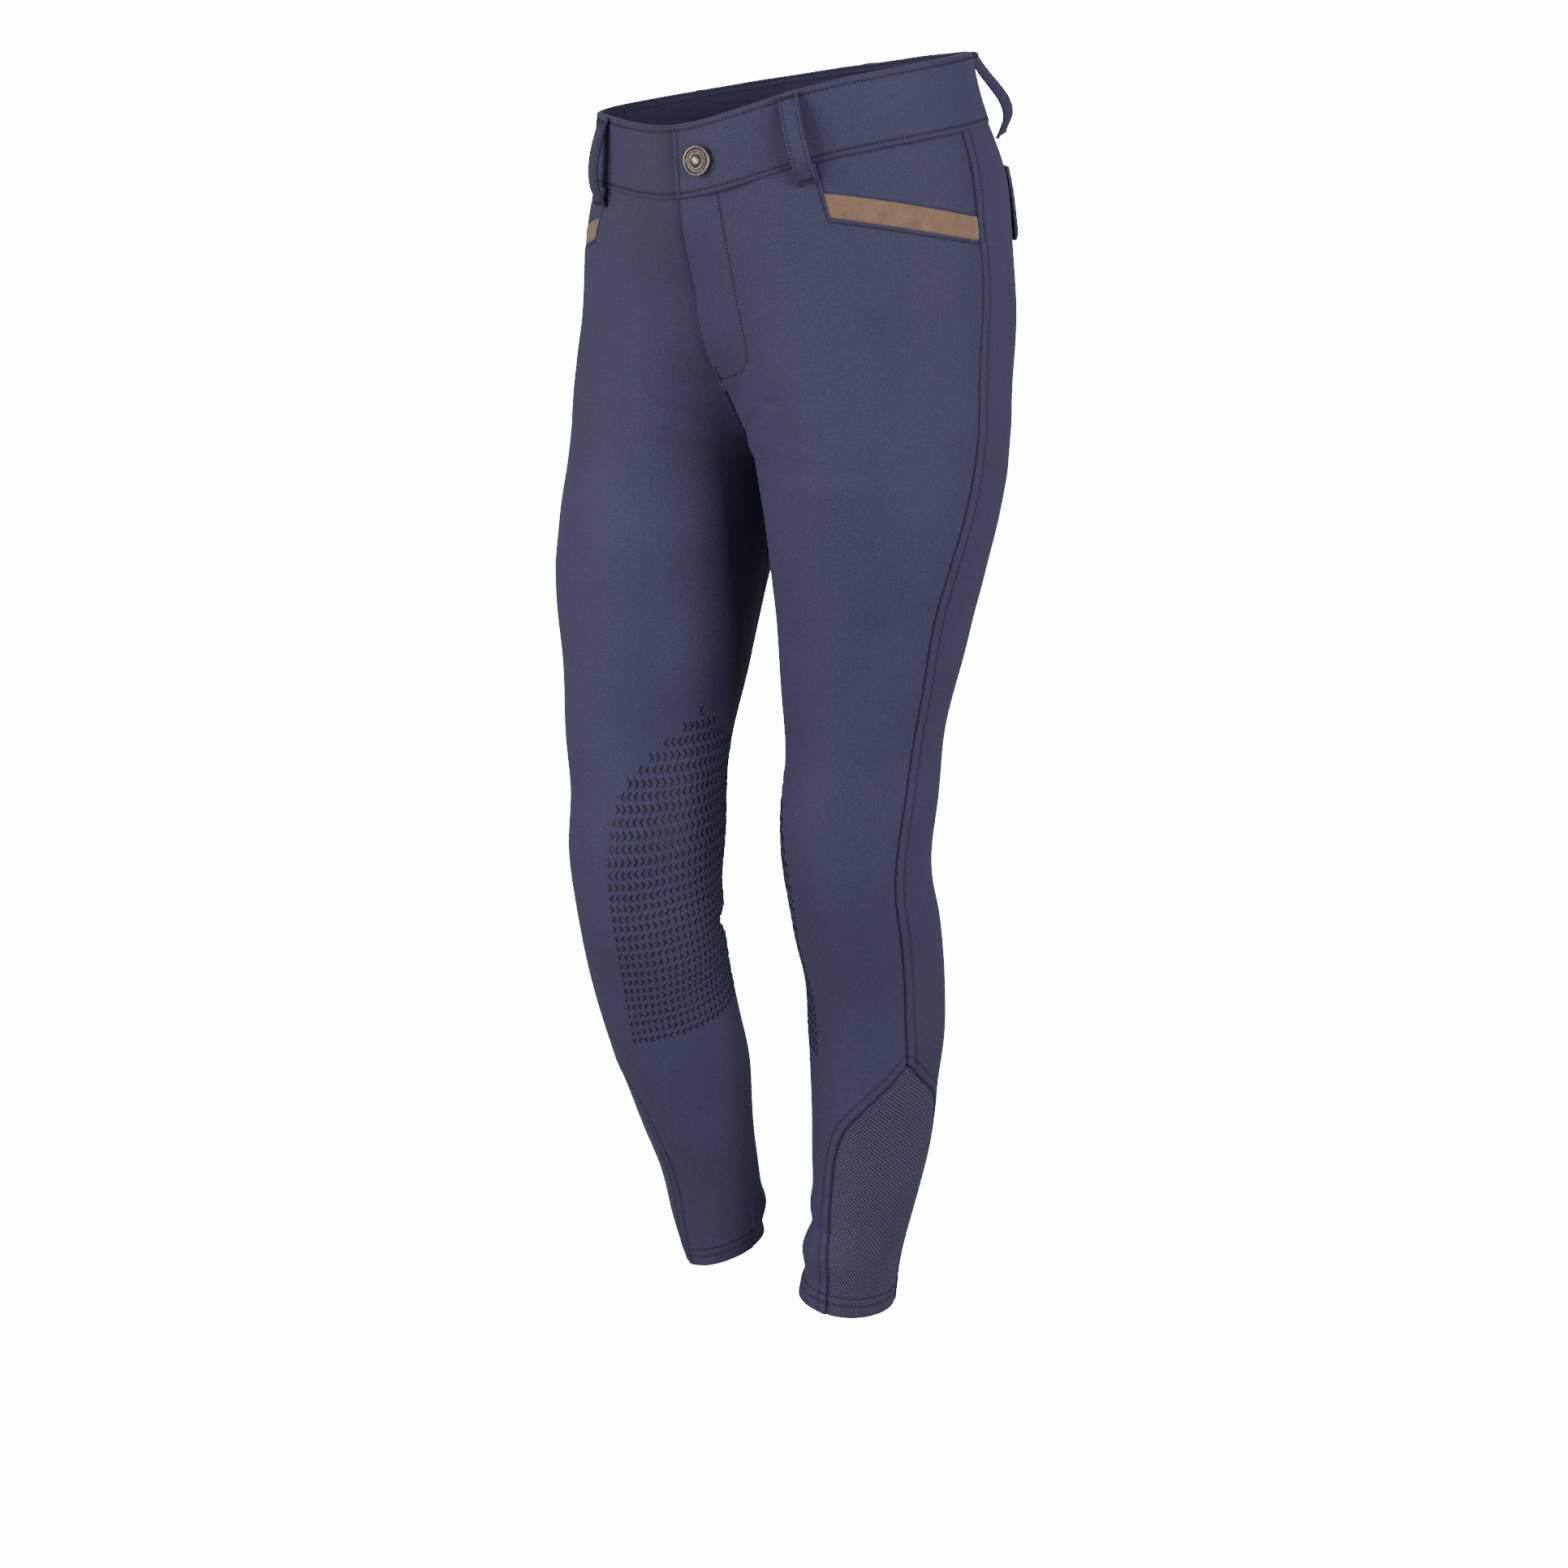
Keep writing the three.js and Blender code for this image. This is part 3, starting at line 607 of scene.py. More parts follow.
# A closed wall between an outer and an inner grid of points, with two strips round its rim
def addShell(name, outer, inner, sign, paint, uv, dark=None):
    rows, cols = outer.shape[:2]
    index = np.arange(rows * cols).reshape(rows, cols)
    quads = [np.stack([index[:-1, :-1], index[1:, :-1], index[1:, 1:], index[:-1, 1:]], -1).reshape(-1, 4)]
    quads.append(quads[0][:, ::-1] + rows * cols)
    ring = np.concatenate([index[0], index[1:, -1], index[-1, -2::-1], index[-2:0:-1, 0]])
    flatOuter, flatInner = outer.reshape(-1, 3), inner.reshape(-1, 3)
    stepIn = np.concatenate([index[1], index[1:, -2], index[-2, -2::-1], index[-2:0:-1, 1]])
    thick = np.linalg.norm(flatOuter[ring] - flatInner[ring], axis=1, keepdims=True)
    rimOut = unit(flatOuter[ring] - flatOuter[stepIn]) * thick * rim["round"]
    rimPoints = (flatOuter[ring] + flatInner[ring]) / 2 + rimOut
    rimIndex = np.arange(len(ring)) + 2 * rows * cols
    following = np.roll(np.arange(len(ring)), -1)
    quads.append(np.stack([ring, ring[following], rimIndex[following], rimIndex], -1))
    innerRing = ring + rows * cols
    quads.append(np.stack([rimIndex, rimIndex[following], innerRing[following], innerRing], -1))
    faces = np.concatenate(quads)
    if sign < 0:
        faces = faces[:, ::-1]
    points = np.concatenate([flatOuter, flatInner, rimPoints])
    flatUV = uv.reshape(-1, 2)
    values = {}
    # dark is painted shade, kept on the outer face only and no deeper than rim's darkest
    if dark is not None:
        values["dark"] = np.zeros(len(points))
        values["dark"][:rows * cols] = np.clip(dark, 0, rim["darkest"]).ravel()
    wholeUV = np.concatenate([flatUV, flatUV, flatUV[ring]])
    return addPiece(name, points, faces.tolist(), paint=paint, uv=wholeUV, values=values)


# Heights from the top down: each stretch ends at a height and has steps of one size
def heightsDown(start, stretches):
    found = [start]
    for end, step in stretches:
        count = max(1, round((found[-1] - end) / step))
        found += list(np.linspace(found[-1], end, count + 1)[1:])
    return np.array(found)


spacing = {
    "fine": 2.4,
    "coarse": 2.6,
    "edgeSteps": np.array([0, 0.5, 1.1, 1.8, 2.7, 3.8, 5, 6.2, 7.4, 8.8]),
    "narrowest": 2.6,
    "least": 4,
    "samples": 65,
}


# The places of a panel's points: fine near both edges, even between them
def clothGrid(side, heights, startEdge, endEdge, step):
    edgeSteps = spacing["edgeSteps"]
    start, end = startEdge(heights), endEdge(heights)
    samples = lerp(start[:, None], end[:, None], np.linspace(0, 1, spacing["samples"]))
    places = surface(side, samples, heights[:, None])
    lengths = np.zeros(samples.shape)
    lengths[:, 1:] = np.cumsum(np.linalg.norm(np.diff(places, axis=1), axis=-1), axis=1)
    width = lengths[:, -1]
    scale = np.minimum(1, width / (spacing["narrowest"] * edgeSteps[-1]))
    middle = max(spacing["least"], int((width.max() - 2 * edgeSteps[-1]) / step))
    between = np.linspace(0, 1, middle + 1)[1:-1]
    across = np.empty((len(heights), 2 * len(edgeSteps) + len(between)))
    for i, total in enumerate(width):
        edge = edgeSteps * scale[i]
        inner = lerp(edge[-1], total - edge[-1], between)
        distances = np.concatenate([edge, inner, (total - edge)[::-1]])
        across[i] = np.interp(distances, lengths[i], samples[i])
    return across, np.repeat(heights[:, None], across.shape[1], axis=1)


# How far points are from a line, and how far along it the nearest place is
def distanceTo(places, line):
    tree = KDTree(len(line))
    for i, p in enumerate(line):
        tree.insert(p, i)
    tree.balance()
    along = np.concatenate([[0], np.cumsum(np.linalg.norm(np.diff(line, axis=0), axis=1))])
    found = [tree.find(p)[1:] for p in places.reshape(-1, 3)]
    distance = np.array([d for _, d in found]).reshape(places.shape[:2])
    return distance, along[[i for i, _ in found]].reshape(places.shape[:2])


# Here and below, pull is how deep a row of stitches draws the cloth in and how much it puckers,
# and the painted shade of an edge is how dark it is and the length that it fades over
sewn = {
    "rowHalf": 0.9,
    "rowPaintedShade": 0.34,
    "puckerHalf": 3.5,
    "puckerLong": 6.5,
    "drift": 1.7,
    "driftLong": 23,
    "edgeRoll": 0.6,
    "valleyPaintedShade": 0.72,
    "stripEdge": (-1.0, 0.8),
    "seamValley": (0.9, 0.8),
    "seamStitch": 6.5,
    "seamStrip": 8.0,
    "seamRaised": 0.3,
    "seamPull": (0.28, 0.1),
    "seamEnd": -188,
    "insetValley": (0.7, 0.9),
    "insetStitch": 6.0,
    "insetStrip": 7.2,
    "insetRaised": 0.4,
    "insetPull": (0.25, 0.12),
    "hemStitches": (8.0, 13.6),
    "hemRow": (-0.15, 0.85),
    "hemOver": 0.8,
    "hemRaised": 0.35,
    "hemPull": (0.25, 0.14),
}


# Every relief is a pair: how far the cloth stands out, and how much painted shade darkens it there
def plain(out):
    return np.stack([out, np.zeros_like(out)])


# A seam's fold: the cloth sinks into it, and painted shade darkens it there
def valley(distance, depth, half):
    share = bell(distance, half)
    return np.stack([-depth * share, sewn["valleyPaintedShade"] * share])


def raised(distance, width, height):
    start, end = sewn["stripEdge"]
    return plain(height * (1 - smooth(width + start, width + end, distance)))


def rolledEdge(distance):
    return plain(-fade(distance, sewn["edgeRoll"], sewn["edgeRoll"]))


# A row of stitches pulls the cloth down along its line by depth, and puckers it a little; painted shade
# darkens the cloth along the row
def stitched(distance, along, at, depth, pucker):
    share = bell(distance - at, sewn["rowHalf"])
    drift = sewn["drift"] * np.sin(along / sewn["driftLong"])
    ripple = np.sin(along * math.tau / sewn["puckerLong"] + drift)
    out = pucker * ripple * bell(distance - at, sewn["puckerHalf"]) - depth * share
    return np.stack([out, sewn["rowPaintedShade"] * share])


# Slow unevenness of worn cloth, as a sum of long ripples through space
swells = {"seed": 7, "count": 14, "shortest": 38, "longest": 120, "rise": 0.22}


def swell(places, s):
    chance = np.random.RandomState(s["seed"])
    out = np.zeros(places.shape[:-1])
    for _ in range(s["count"]):
        direction = unit(chance.normal(size=3))
        length = chance.uniform(s["shortest"], s["longest"])
        out += np.sin(places @ direction * math.tau / length + chance.uniform(0, math.tau))
    return out * s["rise"]


hipRound = 400  # about how many millimetres one whole way round is at the hips
weaveRound = 420  # millimetres of weave to one whole way round
clothThick = 1.5
# Node, piece and paint of what comes as a left and a right one
parts = {
    "front": ("frontPanel", "cloth"),
    "back": ("backPanel", "cloth"),
    "calf_mesh": ("calfMesh", "mesh"),
    "pocket_yoke": ("pocketYoke", "cloth"),
    "pocket_trim": ("pocketTrim", "suede"),
    "back_pocket_flap": ("backFlap", "cloth"),
    "waistband": ("waistBand", "band"),
}
built = {}


# A piece of cloth on the body. relief(places, across, height) is how far its face stands out, and how much
# painted shade it has.
def addCloth(part, side, across, height, relief, thick=clothThick, woven=weaveRound):
    name, paint = parts[part]
    here, normal, _, _ = facing(side, across, height)
    out, dark = relief(here, across, height)
    out = out + swell(here, swells) + ease(height)
    outer = here + normal * out[..., None]
    inner = outer - normal * np.broadcast_to(thick, across.shape)[..., None]
    uv = np.stack([across * woven, height], -1)
    piece = addShell(f"{name}_{side['name']}", outer, inner, side["sign"], paints[paint], uv, dark)
    built[f"{part}_{side['name']}"] = piece


# Seam lines and edges, as points (across, height) on a side

lineStep = 1.0


def lineAt(acrossOf, top, bottom):
    heights = np.arange(top, bottom - lineStep / 2, -lineStep)
    return np.stack([np.broadcast_to(acrossOf(heights), heights.shape), heights], -1)


def levelLine(level, start, end, count=260):
    return np.stack([np.linspace(start, end, count), np.full(count, float(level))], -1)


def on(side, line):
    return surface(side, line[:, 0], line[:, 1])


# The same line moved sideways over the cloth, to its right as it runs down the left side
def offsetLine(side, line, distance):
    _, _, roundLength, upLength = facing(side, line[:, 0], line[:, 1])
    run = np.gradient(line, axis=0) * np.stack([roundLength, upLength], -1)
    aside = unit(np.stack([-run[:, 1], run[:, 0]], -1)) * distance
    return line + aside / np.stack([roundLength, upLength], -1)


def atFront(height):
    return 0 * height


def atBack(height):
    return 0 * height + 1


pocket = {
    "topAcross": 0.214,
    "cornerAcross": 0.232,
    "corner": -52.5,
    "end": -78,
    "sag": 2.0,
    "stitch": 2.0,
    "pull": (0.35, 0.1),
    "trimHeights": (14.2, 11.8),
    "trimUp": 0.3,
    "trimRecess": 0.6,
    "trimRows": 16,
    "yokeRecess": 0.9,
    "yokeRows": 26,
    "columns": 110,
    "width": 90,
    "gaps": (0.0006, -0.0004),
    "roll": (0.45, 0.6),
    "endPaintedShade": (0.6, 0.9),
    "edgePaintedShade": (0.25, 0.5),
    "tack": (-66.5, -78.5),
    "tackBehind": 4.4,
}
fly = {
    "bottom": -148,
    "edge": 1.6,
    "underlap": 5,
    "rise": 2.5,
    "flat": 9,
    "end": 34,
    "runOut": 8,
    "openEnd": -94,
    "seamOver": 6,
    "pull": (0.22, 0.08),
    "nearShade": (0.5, 3.0),
    "farShade": (0.14, 26),
    "tack": (-134, -146),
    "tackBeside": 4.5,
    "rowPoints": 170,
    # across and height of the curved row, from the waist seam down and round to the lapped edge
    "row": [
        (0.0627, -21), (0.067, -36), (0.0734, -68), (0.0795, -95), (0.0865, -112),
        (0.0905, -122), (0.0888, -130), (0.0737, -137.2), (0.0477, -141.2), (0.006, -143.6),
    ],
    "rowSoftening": 9,
}
hemLine = levelLine(hem["edge"], -0.16, 1.0)


def insetShift(side, height):
    return side["insetTurn"] * smooth(insetTop, insetTop - insetFade["turn"], height)


def insetFront(side):
    return lambda height: inset["front"](height) + insetShift(side, height)


def insetBack(side):
    def edge(height):
        drawn = side["insetBackShift"] * smooth(insetTop, insetTop - insetFade["back"], height)
        return inset["back"](height) + insetShift(side, height) + drawn

    return edge


def pocketCorner(side):
    return pocket["cornerAcross"] + side["pocketShift"]


def pocketFront(side, height):
    share = portion(waist["seam"], pocket["corner"], height)
    return lerp(pocket["topAcross"] + side["pocketShift"], pocketCorner(side), share)


# The pocket mouth's height, from its corner (0) to the side seam (1)
def slantOf(shares):
    return lerp(pocket["corner"], pocket["end"], shares) - pocket["sag"] * 4 * shares * (1 - shares)


slantShares = np.linspace(0, 1, 240)


def mouthAcross(side, shares):
    return lerp(pocketCorner(side), sideSeam(pocket["end"]), shares)


def mouthLine(side):
    slant = np.stack([mouthAcross(side, slantShares), slantOf(slantShares)], -1)
    down = lineAt(lambda h: pocketFront(side, h), waist["seam"], pocket["corner"] + 1)
    return np.concatenate([down, slant])


def frontPanelEdge(side):
    def edge(height):
        along = np.interp(-height, -slantOf(slantShares), slantShares)
        mouth = mouthAcross(side, along)
        upper = np.where(height > pocket["corner"], pocketFront(side, height), mouth)
        lower = np.where(height > insetTop, sideSeam(height), insetFront(side)(height))
        return np.where(height > pocket["end"], upper, lower)

    return edge


def backPanelEdge(side):
    return lambda height: np.where(height > insetTop, sideSeam(height), insetBack(side)(height))


def inseamAcross(height):
    return np.where(height <= crotch["height"], -inseam(height), 0.0)


def backEnd(height):
    return np.where(height > crotch["height"], 1.0, 1 - inseam(height))


def frontStart(side):
    def start(height):
        share = smooth(fly["openEnd"], fly["openEnd"] + fly["runOut"], height)
        reach = fly["edge"] if side is left else -fly["underlap"]
        return np.where(height <= crotch["height"], -inseam(height), acrossAt(share * reach, height))

    return start


def flyRise(side, across, height):
    if side is right:
        return np.zeros_like(across)
    share = smooth(fly["bottom"] - fly["runOut"], fly["bottom"], height)
    return fly["rise"] * share * (1 - smooth(fly["flat"], fly["end"], fromMiddle(np.abs(across), height)))


def flyRow():
    rows = np.array(fly["row"], float)
    marks = np.linspace(0, 1, len(rows))
    shares = np.linspace(0, 1, fly["rowPoints"])
    line = np.stack([np.interp(shares, marks, column) for column in rows.T], -1)
    count = fly["rowSoftening"]
    soft = np.ones(count) / count
    padded = np.concatenate([np.repeat(line[:1], count // 2, 0), line, np.repeat(line[-1:], count // 2, 0)])
    return np.stack([np.convolve(column, soft, "valid") for column in padded.T], -1)


def clothDepth(height):
    fold = hem["edge"] + hem["depth"]
    return lerp(clothThick, hem["thick"], smooth(fold, fold - hem["foldRun"], height))


# The soft shade that a lapped edge keeps on the cloth under it
def lapShade(beyond, piece):
    beyond = np.maximum(beyond, 0)
    return fade(beyond, *piece["nearShade"]) + fade(beyond, *piece["farShade"])


def seamLines(side):
    return {
        "side": lineAt(sideSeam, pocket["end"], insetTop),
        "sideWhole": lineAt(sideSeam, waist["seam"], insetTop),
        "inseam": lineAt(inseamAcross, crotch["height"], hem["edge"]),
        "back": lineAt(atBack, waist["seam"], crotch["height"]),
        "underFly": lineAt(atFront, fly["bottom"] - fly["seamOver"], crotch["height"]),
        "insetFront": lineAt(insetFront(side), insetTop, hem["edge"]),
        "insetBack": lineAt(insetBack(side), insetTop, hem["edge"]),
    }


def seamRelief(places, line, raisedSide=False):
    distance, along = distanceTo(places, line)
    out = valley(distance, *sewn["seamValley"])
    if raisedSide:
        out = out + raised(distance, sewn["seamStrip"], sewn["seamRaised"])
        out = out + stitched(distance, along, sewn["seamStitch"], *sewn["seamPull"])
    return out


def hemRelief(places, side):
    distance, along = distanceTo(places, on(side, hemLine))
    out = raised(distance, hem["depth"] + sewn["hemOver"], sewn["hemRaised"])
    for at in sewn["hemStitches"]:
        out = out + stitched(distance, along, at, *sewn["hemPull"])
    return out


def insetRelief(places, line):
    distance, along = distanceTo(places, line)
    out = valley(distance, *sewn["insetValley"]) + raised(distance, sewn["insetStrip"], sewn["insetRaised"])
    return out + stitched(distance, along, sewn["insetStitch"], *sewn["insetPull"])


# Leg panels

panelHeights = heightsDown(
    waist["seam"],
    [
        (-26, 0.9), (pocket["corner"] + 2, 2.4), (pocket["end"] - 2, 1.0), (-140, 2.6),
        (-186, 2.4), (-216, 1.3), (insetTop + 8, 2.8), (insetTop - 10, 1.2), (-660, 2.2),
        (hem["edge"] + 18, 2.6), (hem["edge"], 1.0),
    ],
)


def buildFront(side):
    lines = seamLines(side)
    across, height = clothGrid(side, panelHeights, frontStart(side), frontPanelEdge(side), spacing["fine"])

    def relief(places, across, height):
        out = plain(flyRise(side, across, height))
        if side is right:
            shown = smooth(fly["bottom"] - fly["seamOver"], fly["bottom"] + fly["seamOver"], height)
            out[1] = out[1] + shown * lapShade(fromMiddle(across, height) + fly["edge"], fly)
        for key in ("side", "inseam", "underFly"):
            out = out + seamRelief(places, on(side, lines[key]))
        distance, along = distanceTo(places, on(side, mouthLine(side)))
        out = out + stitched(distance, along, pocket["stitch"], *pocket["pull"]) + rolledEdge(distance)
        if side is left:
            distance, along = distanceTo(places, on(side, flyRow()))
            out = out + stitched(distance, along, 0, *fly["pull"])
        return out + insetRelief(places, on(side, lines["insetFront"])) + hemRelief(places, side)

    addCloth("front", side, across, height, relief, clothDepth(height))


def buildBack(side):
    lines = seamLines(side)
    across, height = clothGrid(side, panelHeights, backPanelEdge(side), backEnd, spacing["coarse"])

    def relief(places, across, height):
        out = seamRelief(places, on(side, lines["sideWhole"]), True)
        out = out + seamRelief(places, on(side, lines["inseam"]))
        out = out + seamRelief(places, on(side, lines["back"]), True)
        return out + insetRelief(places, on(side, lines["insetBack"])) + hemRelief(places, side)

    addCloth("back", side, across, height, relief, clothDepth(height))


def buildInset(side):
    lines = seamLines(side)
    heights = panelHeights[panelHeights < insetTop - insetFade["tip"]]
    across, height = clothGrid(side, heights, insetFront(side), insetBack(side), spacing["fine"])

    def relief(places, across, height):
        out = plain(np.full(across.shape, -mesh["sunk"]))
        for key in ("insetFront", "insetBack"):
            out = out + valley(distanceTo(places, on(side, lines[key]))[0], *mesh["seamValley"])
        return out + hemRelief(places, side)

    addCloth("calf_mesh", side, across, height, relief, clothDepth(height) - mesh["sunk"], mesh["round"])


for side in sides:
    buildFront(side)
    buildBack(side)
    buildInset(side)
print("leg panels ready")


# Pocket corner: yoke and trim between two slanting lines

def yokeTop(shares):
    return 0 * shares + waist["seam"]


def trimTop(shares):
    return slantOf(shares) + lerp(*pocket["trimHeights"], shares)


def trimBottom(shares):
    return slantOf(shares) + pocket["trimUp"]


def buildCorner(part, side, rows, topOf, bottomOf, recess):
    shares = np.linspace(0, 1, pocket["columns"])
    downs = np.linspace(0, 1, rows)
    height = lerp(topOf(shares)[None, :], bottomOf(shares)[None, :], downs[:, None])
    frontGap, backGap = pocket["gaps"]
    across = lerp(pocketFront(side, height) + frontGap, sideSeam(height) + backGap, shares[None, :])

    def relief(places, across, height):
        fromEdge = np.minimum(downs, 1 - downs)[:, None] * (topOf(shares) - bottomOf(shares)).mean()
        fromEnd = np.minimum(shares, 1 - shares)[None, :] * pocket["width"]
        # Painted shade: the yoke and trim darken towards their ends and edges, where they sink under the
        # cloth round them
        dark = fade(fromEnd, *pocket["endPaintedShade"]) + fade(fromEdge, *pocket["edgePaintedShade"])
        return np.stack([-recess - fade(fromEdge, *pocket["roll"]) + 0 * across, dark])

    addCloth(part, side, across, height, relief)


for side in sides:
    buildCorner("pocket_yoke", side, pocket["yokeRows"], yokeTop, trimTop, pocket["yokeRecess"])
    buildCorner("pocket_trim", side, pocket["trimRows"], trimTop, trimBottom, pocket["trimRecess"])
print("pockets ready")


# Back pocket flaps

flap = {
    "top": -48, "bottom": -86, "from": 0.672, "to": 0.905, "thick": 2.2, "gap": 0.5, "lift": 1.0,
    "liftBend": 1.5, "corner": 0.14, "cornerRise": 9, "stitch": 5.5, "pull": (0.4, 0.18),
    "columns": 61, "rows": 26, "endPoints": 40,
}


def flapBottom():
    shares = np.linspace(0, 1, flap["columns"])
    near = np.clip(np.minimum(shares, 1 - shares) / flap["corner"], 0, 1)
    bottom = flap["bottom"] + flap["cornerRise"] * (1 - np.sqrt(1 - (1 - near) ** 2))
    return lerp(flap["from"], flap["to"], shares), bottom


# Down one end, along the bottom and up the other end, or a line that far inside of it
def flapLine(inside=0.0):
    across, bottom = flapBottom()
    middle = 0.5 * (flap["from"] + flap["to"])
    shrink = inside / (0.5 * (flap["to"] - flap["from"]) * hipRound)
    across = middle + (across - middle) * (1 - shrink)
    downs = np.linspace(0, 1, flap["endPoints"])
    start = np.stack([np.full_like(downs, across[0]), lerp(flap["top"], bottom[0] + inside, downs)], -1)
    end = np.stack([np.full_like(downs, across[-1]), lerp(bottom[-1] + inside, flap["top"], downs)], -1)
    return np.concatenate([start, np.stack([across, bottom + inside], -1)[1:-1], end])


def buildFlap(side):
    across, bottom = flapBottom()
    downs = np.linspace(0, 1, flap["rows"])
    height = lerp(flap["top"], bottom[None, :], downs[:, None])
    across = np.repeat(across[None, :], len(downs), axis=0)

    def relief(places, across, height):
        distance, along = distanceTo(places, on(side, flapLine()))
        lift = flap["lift"] * downs[:, None] ** flap["liftBend"]
        out = plain(flap["gap"] + flap["thick"] + lift + 0 * across)
        return out + stitched(distance, along, flap["stitch"], *flap["pull"]) + rolledEdge(distance)

    addCloth("back_pocket_flap", side, across, height, relief, flap["thick"])


for side in sides:
    buildFlap(side)
print("flaps ready")


# Waistband

band = {
    "thick": 2.6, "proud": 1.0, "lapRise": 3.2, "lapFlat": 26, "lapEnd": 58, "lapLean": 2.6,
    "underlap": 25, "gap": 0.15, "stitch": 3.0, "pull": (0.35, 0.12), "endPull": (0.35, 0.1),
    "rowPoints": 420, "frontPart": 0.4, "nearShade": (0.5, 3.4), "farShade": (0.12, 22),
}
bandHeights = heightsDown(
    waist["top"],
    [(waist["top"] - 6, 0.8), (waist["seam"] + 6, 2.4), (waist["seam"] + band["gap"], 0.8)],
)


# How far the left half's end leans past the centre front towards its top
def lapLean(height):
    return band["lapLean"] * portion(waist["seam"], waist["top"], height)


def bandRise(side, across, height):
    if side is right:
        return np.zeros_like(across)
    distance = fromMiddle(np.abs(across), height)
    rise = band["lapRise"] * (1 - smooth(band["lapFlat"], band["lapEnd"], distance))
    return np.where(across > 0.5, 0, rise)


def buildBand(side):
    def start(height):
        return -acrossAt(lapLean(height) if side is left else band["underlap"], height)

    across, height = clothGrid(side, bandHeights, start, atBack, spacing["coarse"])

    def relief(places, across, height):
        out = plain(band["proud"] + bandRise(side, across, height))
        for level in (waist["top"], waist["seam"]):
            edge = np.abs(height - level)
            out = out + stitched(edge, across * hipRound, band["stitch"], *band["pull"]) + rolledEdge(edge)
        front = across < band["frontPart"]
        if side is left:
            fromEnd = fromMiddle(across, height) + lapLean(height)
            row = stitched(fromEnd, height, band["stitch"], *band["endPull"])
            out = out + front * (row + rolledEdge(fromEnd))
        else:
            out[1] = out[1] + front * lapShade(fromMiddle(across, height) - lapLean(height), band)
        return out

    addCloth("waistband", side, across, height, relief, band["thick"])


for side in sides:
    buildBand(side)
print("waistband ready")


# Belt loops

loop = {
    "thick": 2.4, "top": 19.5, "bottom": -31, "foot": 4, "gap": 0.3, "rows": 70,
    "flatness": 0.8, "twistSpread": 0.15,
    # a half's columns of points, from the edge to the middle
    "columns": (5.5, 5.1, 4.6, 3.9, 3.2, 1.8, 0),
    "edgeRoll": 0.4,
    "groove": 0.25,
    "grooveAt": 3.9,
    "grooveHalf": 0.6,
    "stitchColumns": (3, 9),
    "stitchLift": 0.12,
    "tackRows": (3, -4),
    "tackColumns": (2, 10),
    "tackLift": 0.35,
    "tackPoints": 12,
}
loopPlaces = [
    # node, piece, side, across at the top and the foot, how far it stands off, twist in degrees, sag
    ("belt_loop_front_left", "frontLoop_left", left, 0.187, 0.203, 6.5, 3, 1.25),
    ("belt_loop_front_right", "frontLoop_right", right, 0.199, 0.197, 6, -4, 1.25),
    ("belt_loop_side_left", "sideLoop_left", left, 0.684, 0.676, 9.5, 30, 1.9),
    ("belt_loop_side_right", "sideLoop_right", right, 0.69, 0.69, 10, -8, 1.25),
    ("belt_loop_back", "backLoop", left, 1, 1, 8, 5, 1.25),
]


def buildLoop(node, name, side, top, bottom, bulge, twist, sag):
    shares = np.linspace(0, 1, loop["rows"])
    height = lerp(loop["top"], loop["bottom"], shares)
    across = lerp(top, bottom, shares)
    ends = surface(side, np.array([top, bottom]), np.array([loop["top"], loop["bottom"]]))
    up = unit(ends[0] - ends[1])
    here, normal, _, _ = facing(side, across, height)
    sideways = unit(np.cross(up, normal))
    onBand = smooth(loop["bottom"] + loop["foot"], waist["seam"], height)
    seat = loop["gap"] + (band["proud"] + bandRise(side, across, height)) * onBand
    stand = seat + bulge * np.sin(np.pi * shares ** sag) ** loop["flatness"]
    half = np.array(loop["columns"])
    wide = np.concatenate([-half, half[-2::-1]])
    groove = loop["groove"] * bell(np.abs(wide) - loop["grooveAt"], loop["grooveHalf"])
    crown = -fade(half[0] - np.abs(wide), loop["edgeRoll"], loop["edgeRoll"]) - groove
    turned = np.radians(twist) * np.abs(np.sin(np.pi * shares))[:, None] ** loop["twistSpread"]
    centre = here + normal * stand[:, None]
    normal, sideways = (
        normal * np.cos(turned) - sideways * np.sin(turned),
        sideways * np.cos(turned) + normal * np.sin(turned),
    )
    inner = centre[:, None, :] + sideways[:, None, :] * wide[None, :, None]
    outer = inner + normal[:, None, :] * (loop["thick"] + crown)[None, :, None]
    uv = np.stack(np.broadcast_arrays(wide[None, :], height[:, None]), -1)
    built[node] = addShell(name, outer, inner, 1, paints["band"], uv)
    return outer, normal


loopFaces = [buildLoop(*place) for place in loopPlaces]
print("belt loops ready")


# Button

button = {
    "fromEdge": 16.8, "belowTop": 22, "gap": 0.5, "segments": 144, "turned": 9,
    "beads": 24, "beadRadius": 5.75, "beadHalf": 0.45, "beadRise": 0.35,
    "profile": [
        # radius, height, how worn and bright
        (0, 0, 0), (4, 0, 0), (4, 1.1, 0), (7.5, 1.1, 0.2), (8.1, 1.25, 0.6), (8.45, 1.7, 1),
        (8.5, 2.2, 1), (8.3, 2.7, 1), (7.9, 2.95, 1), (7.5, 2.9, 0.8), (7.25, 2.6, 0.1),
        (6.9, 2.4, 0), (6.5, 2.4, 0.1), (6.2, 2.45, 0.2), (5.75, 2.5, 0.3), (5.3, 2.5, 0.2),
        (5.0, 2.45, 0.1), (4.7, 2.6, 0.7), (4.4, 2.9, 1), (4.05, 2.9, 1), (3.75, 2.6, 0.2),
        (3.4, 2.55, 0), (3.0, 2.6, 0.1), (2.6, 2.95, 0.7), (2.0, 3.2, 1), (1.2, 3.4, 1),
        (0, 3.45, 1),
    ],
}


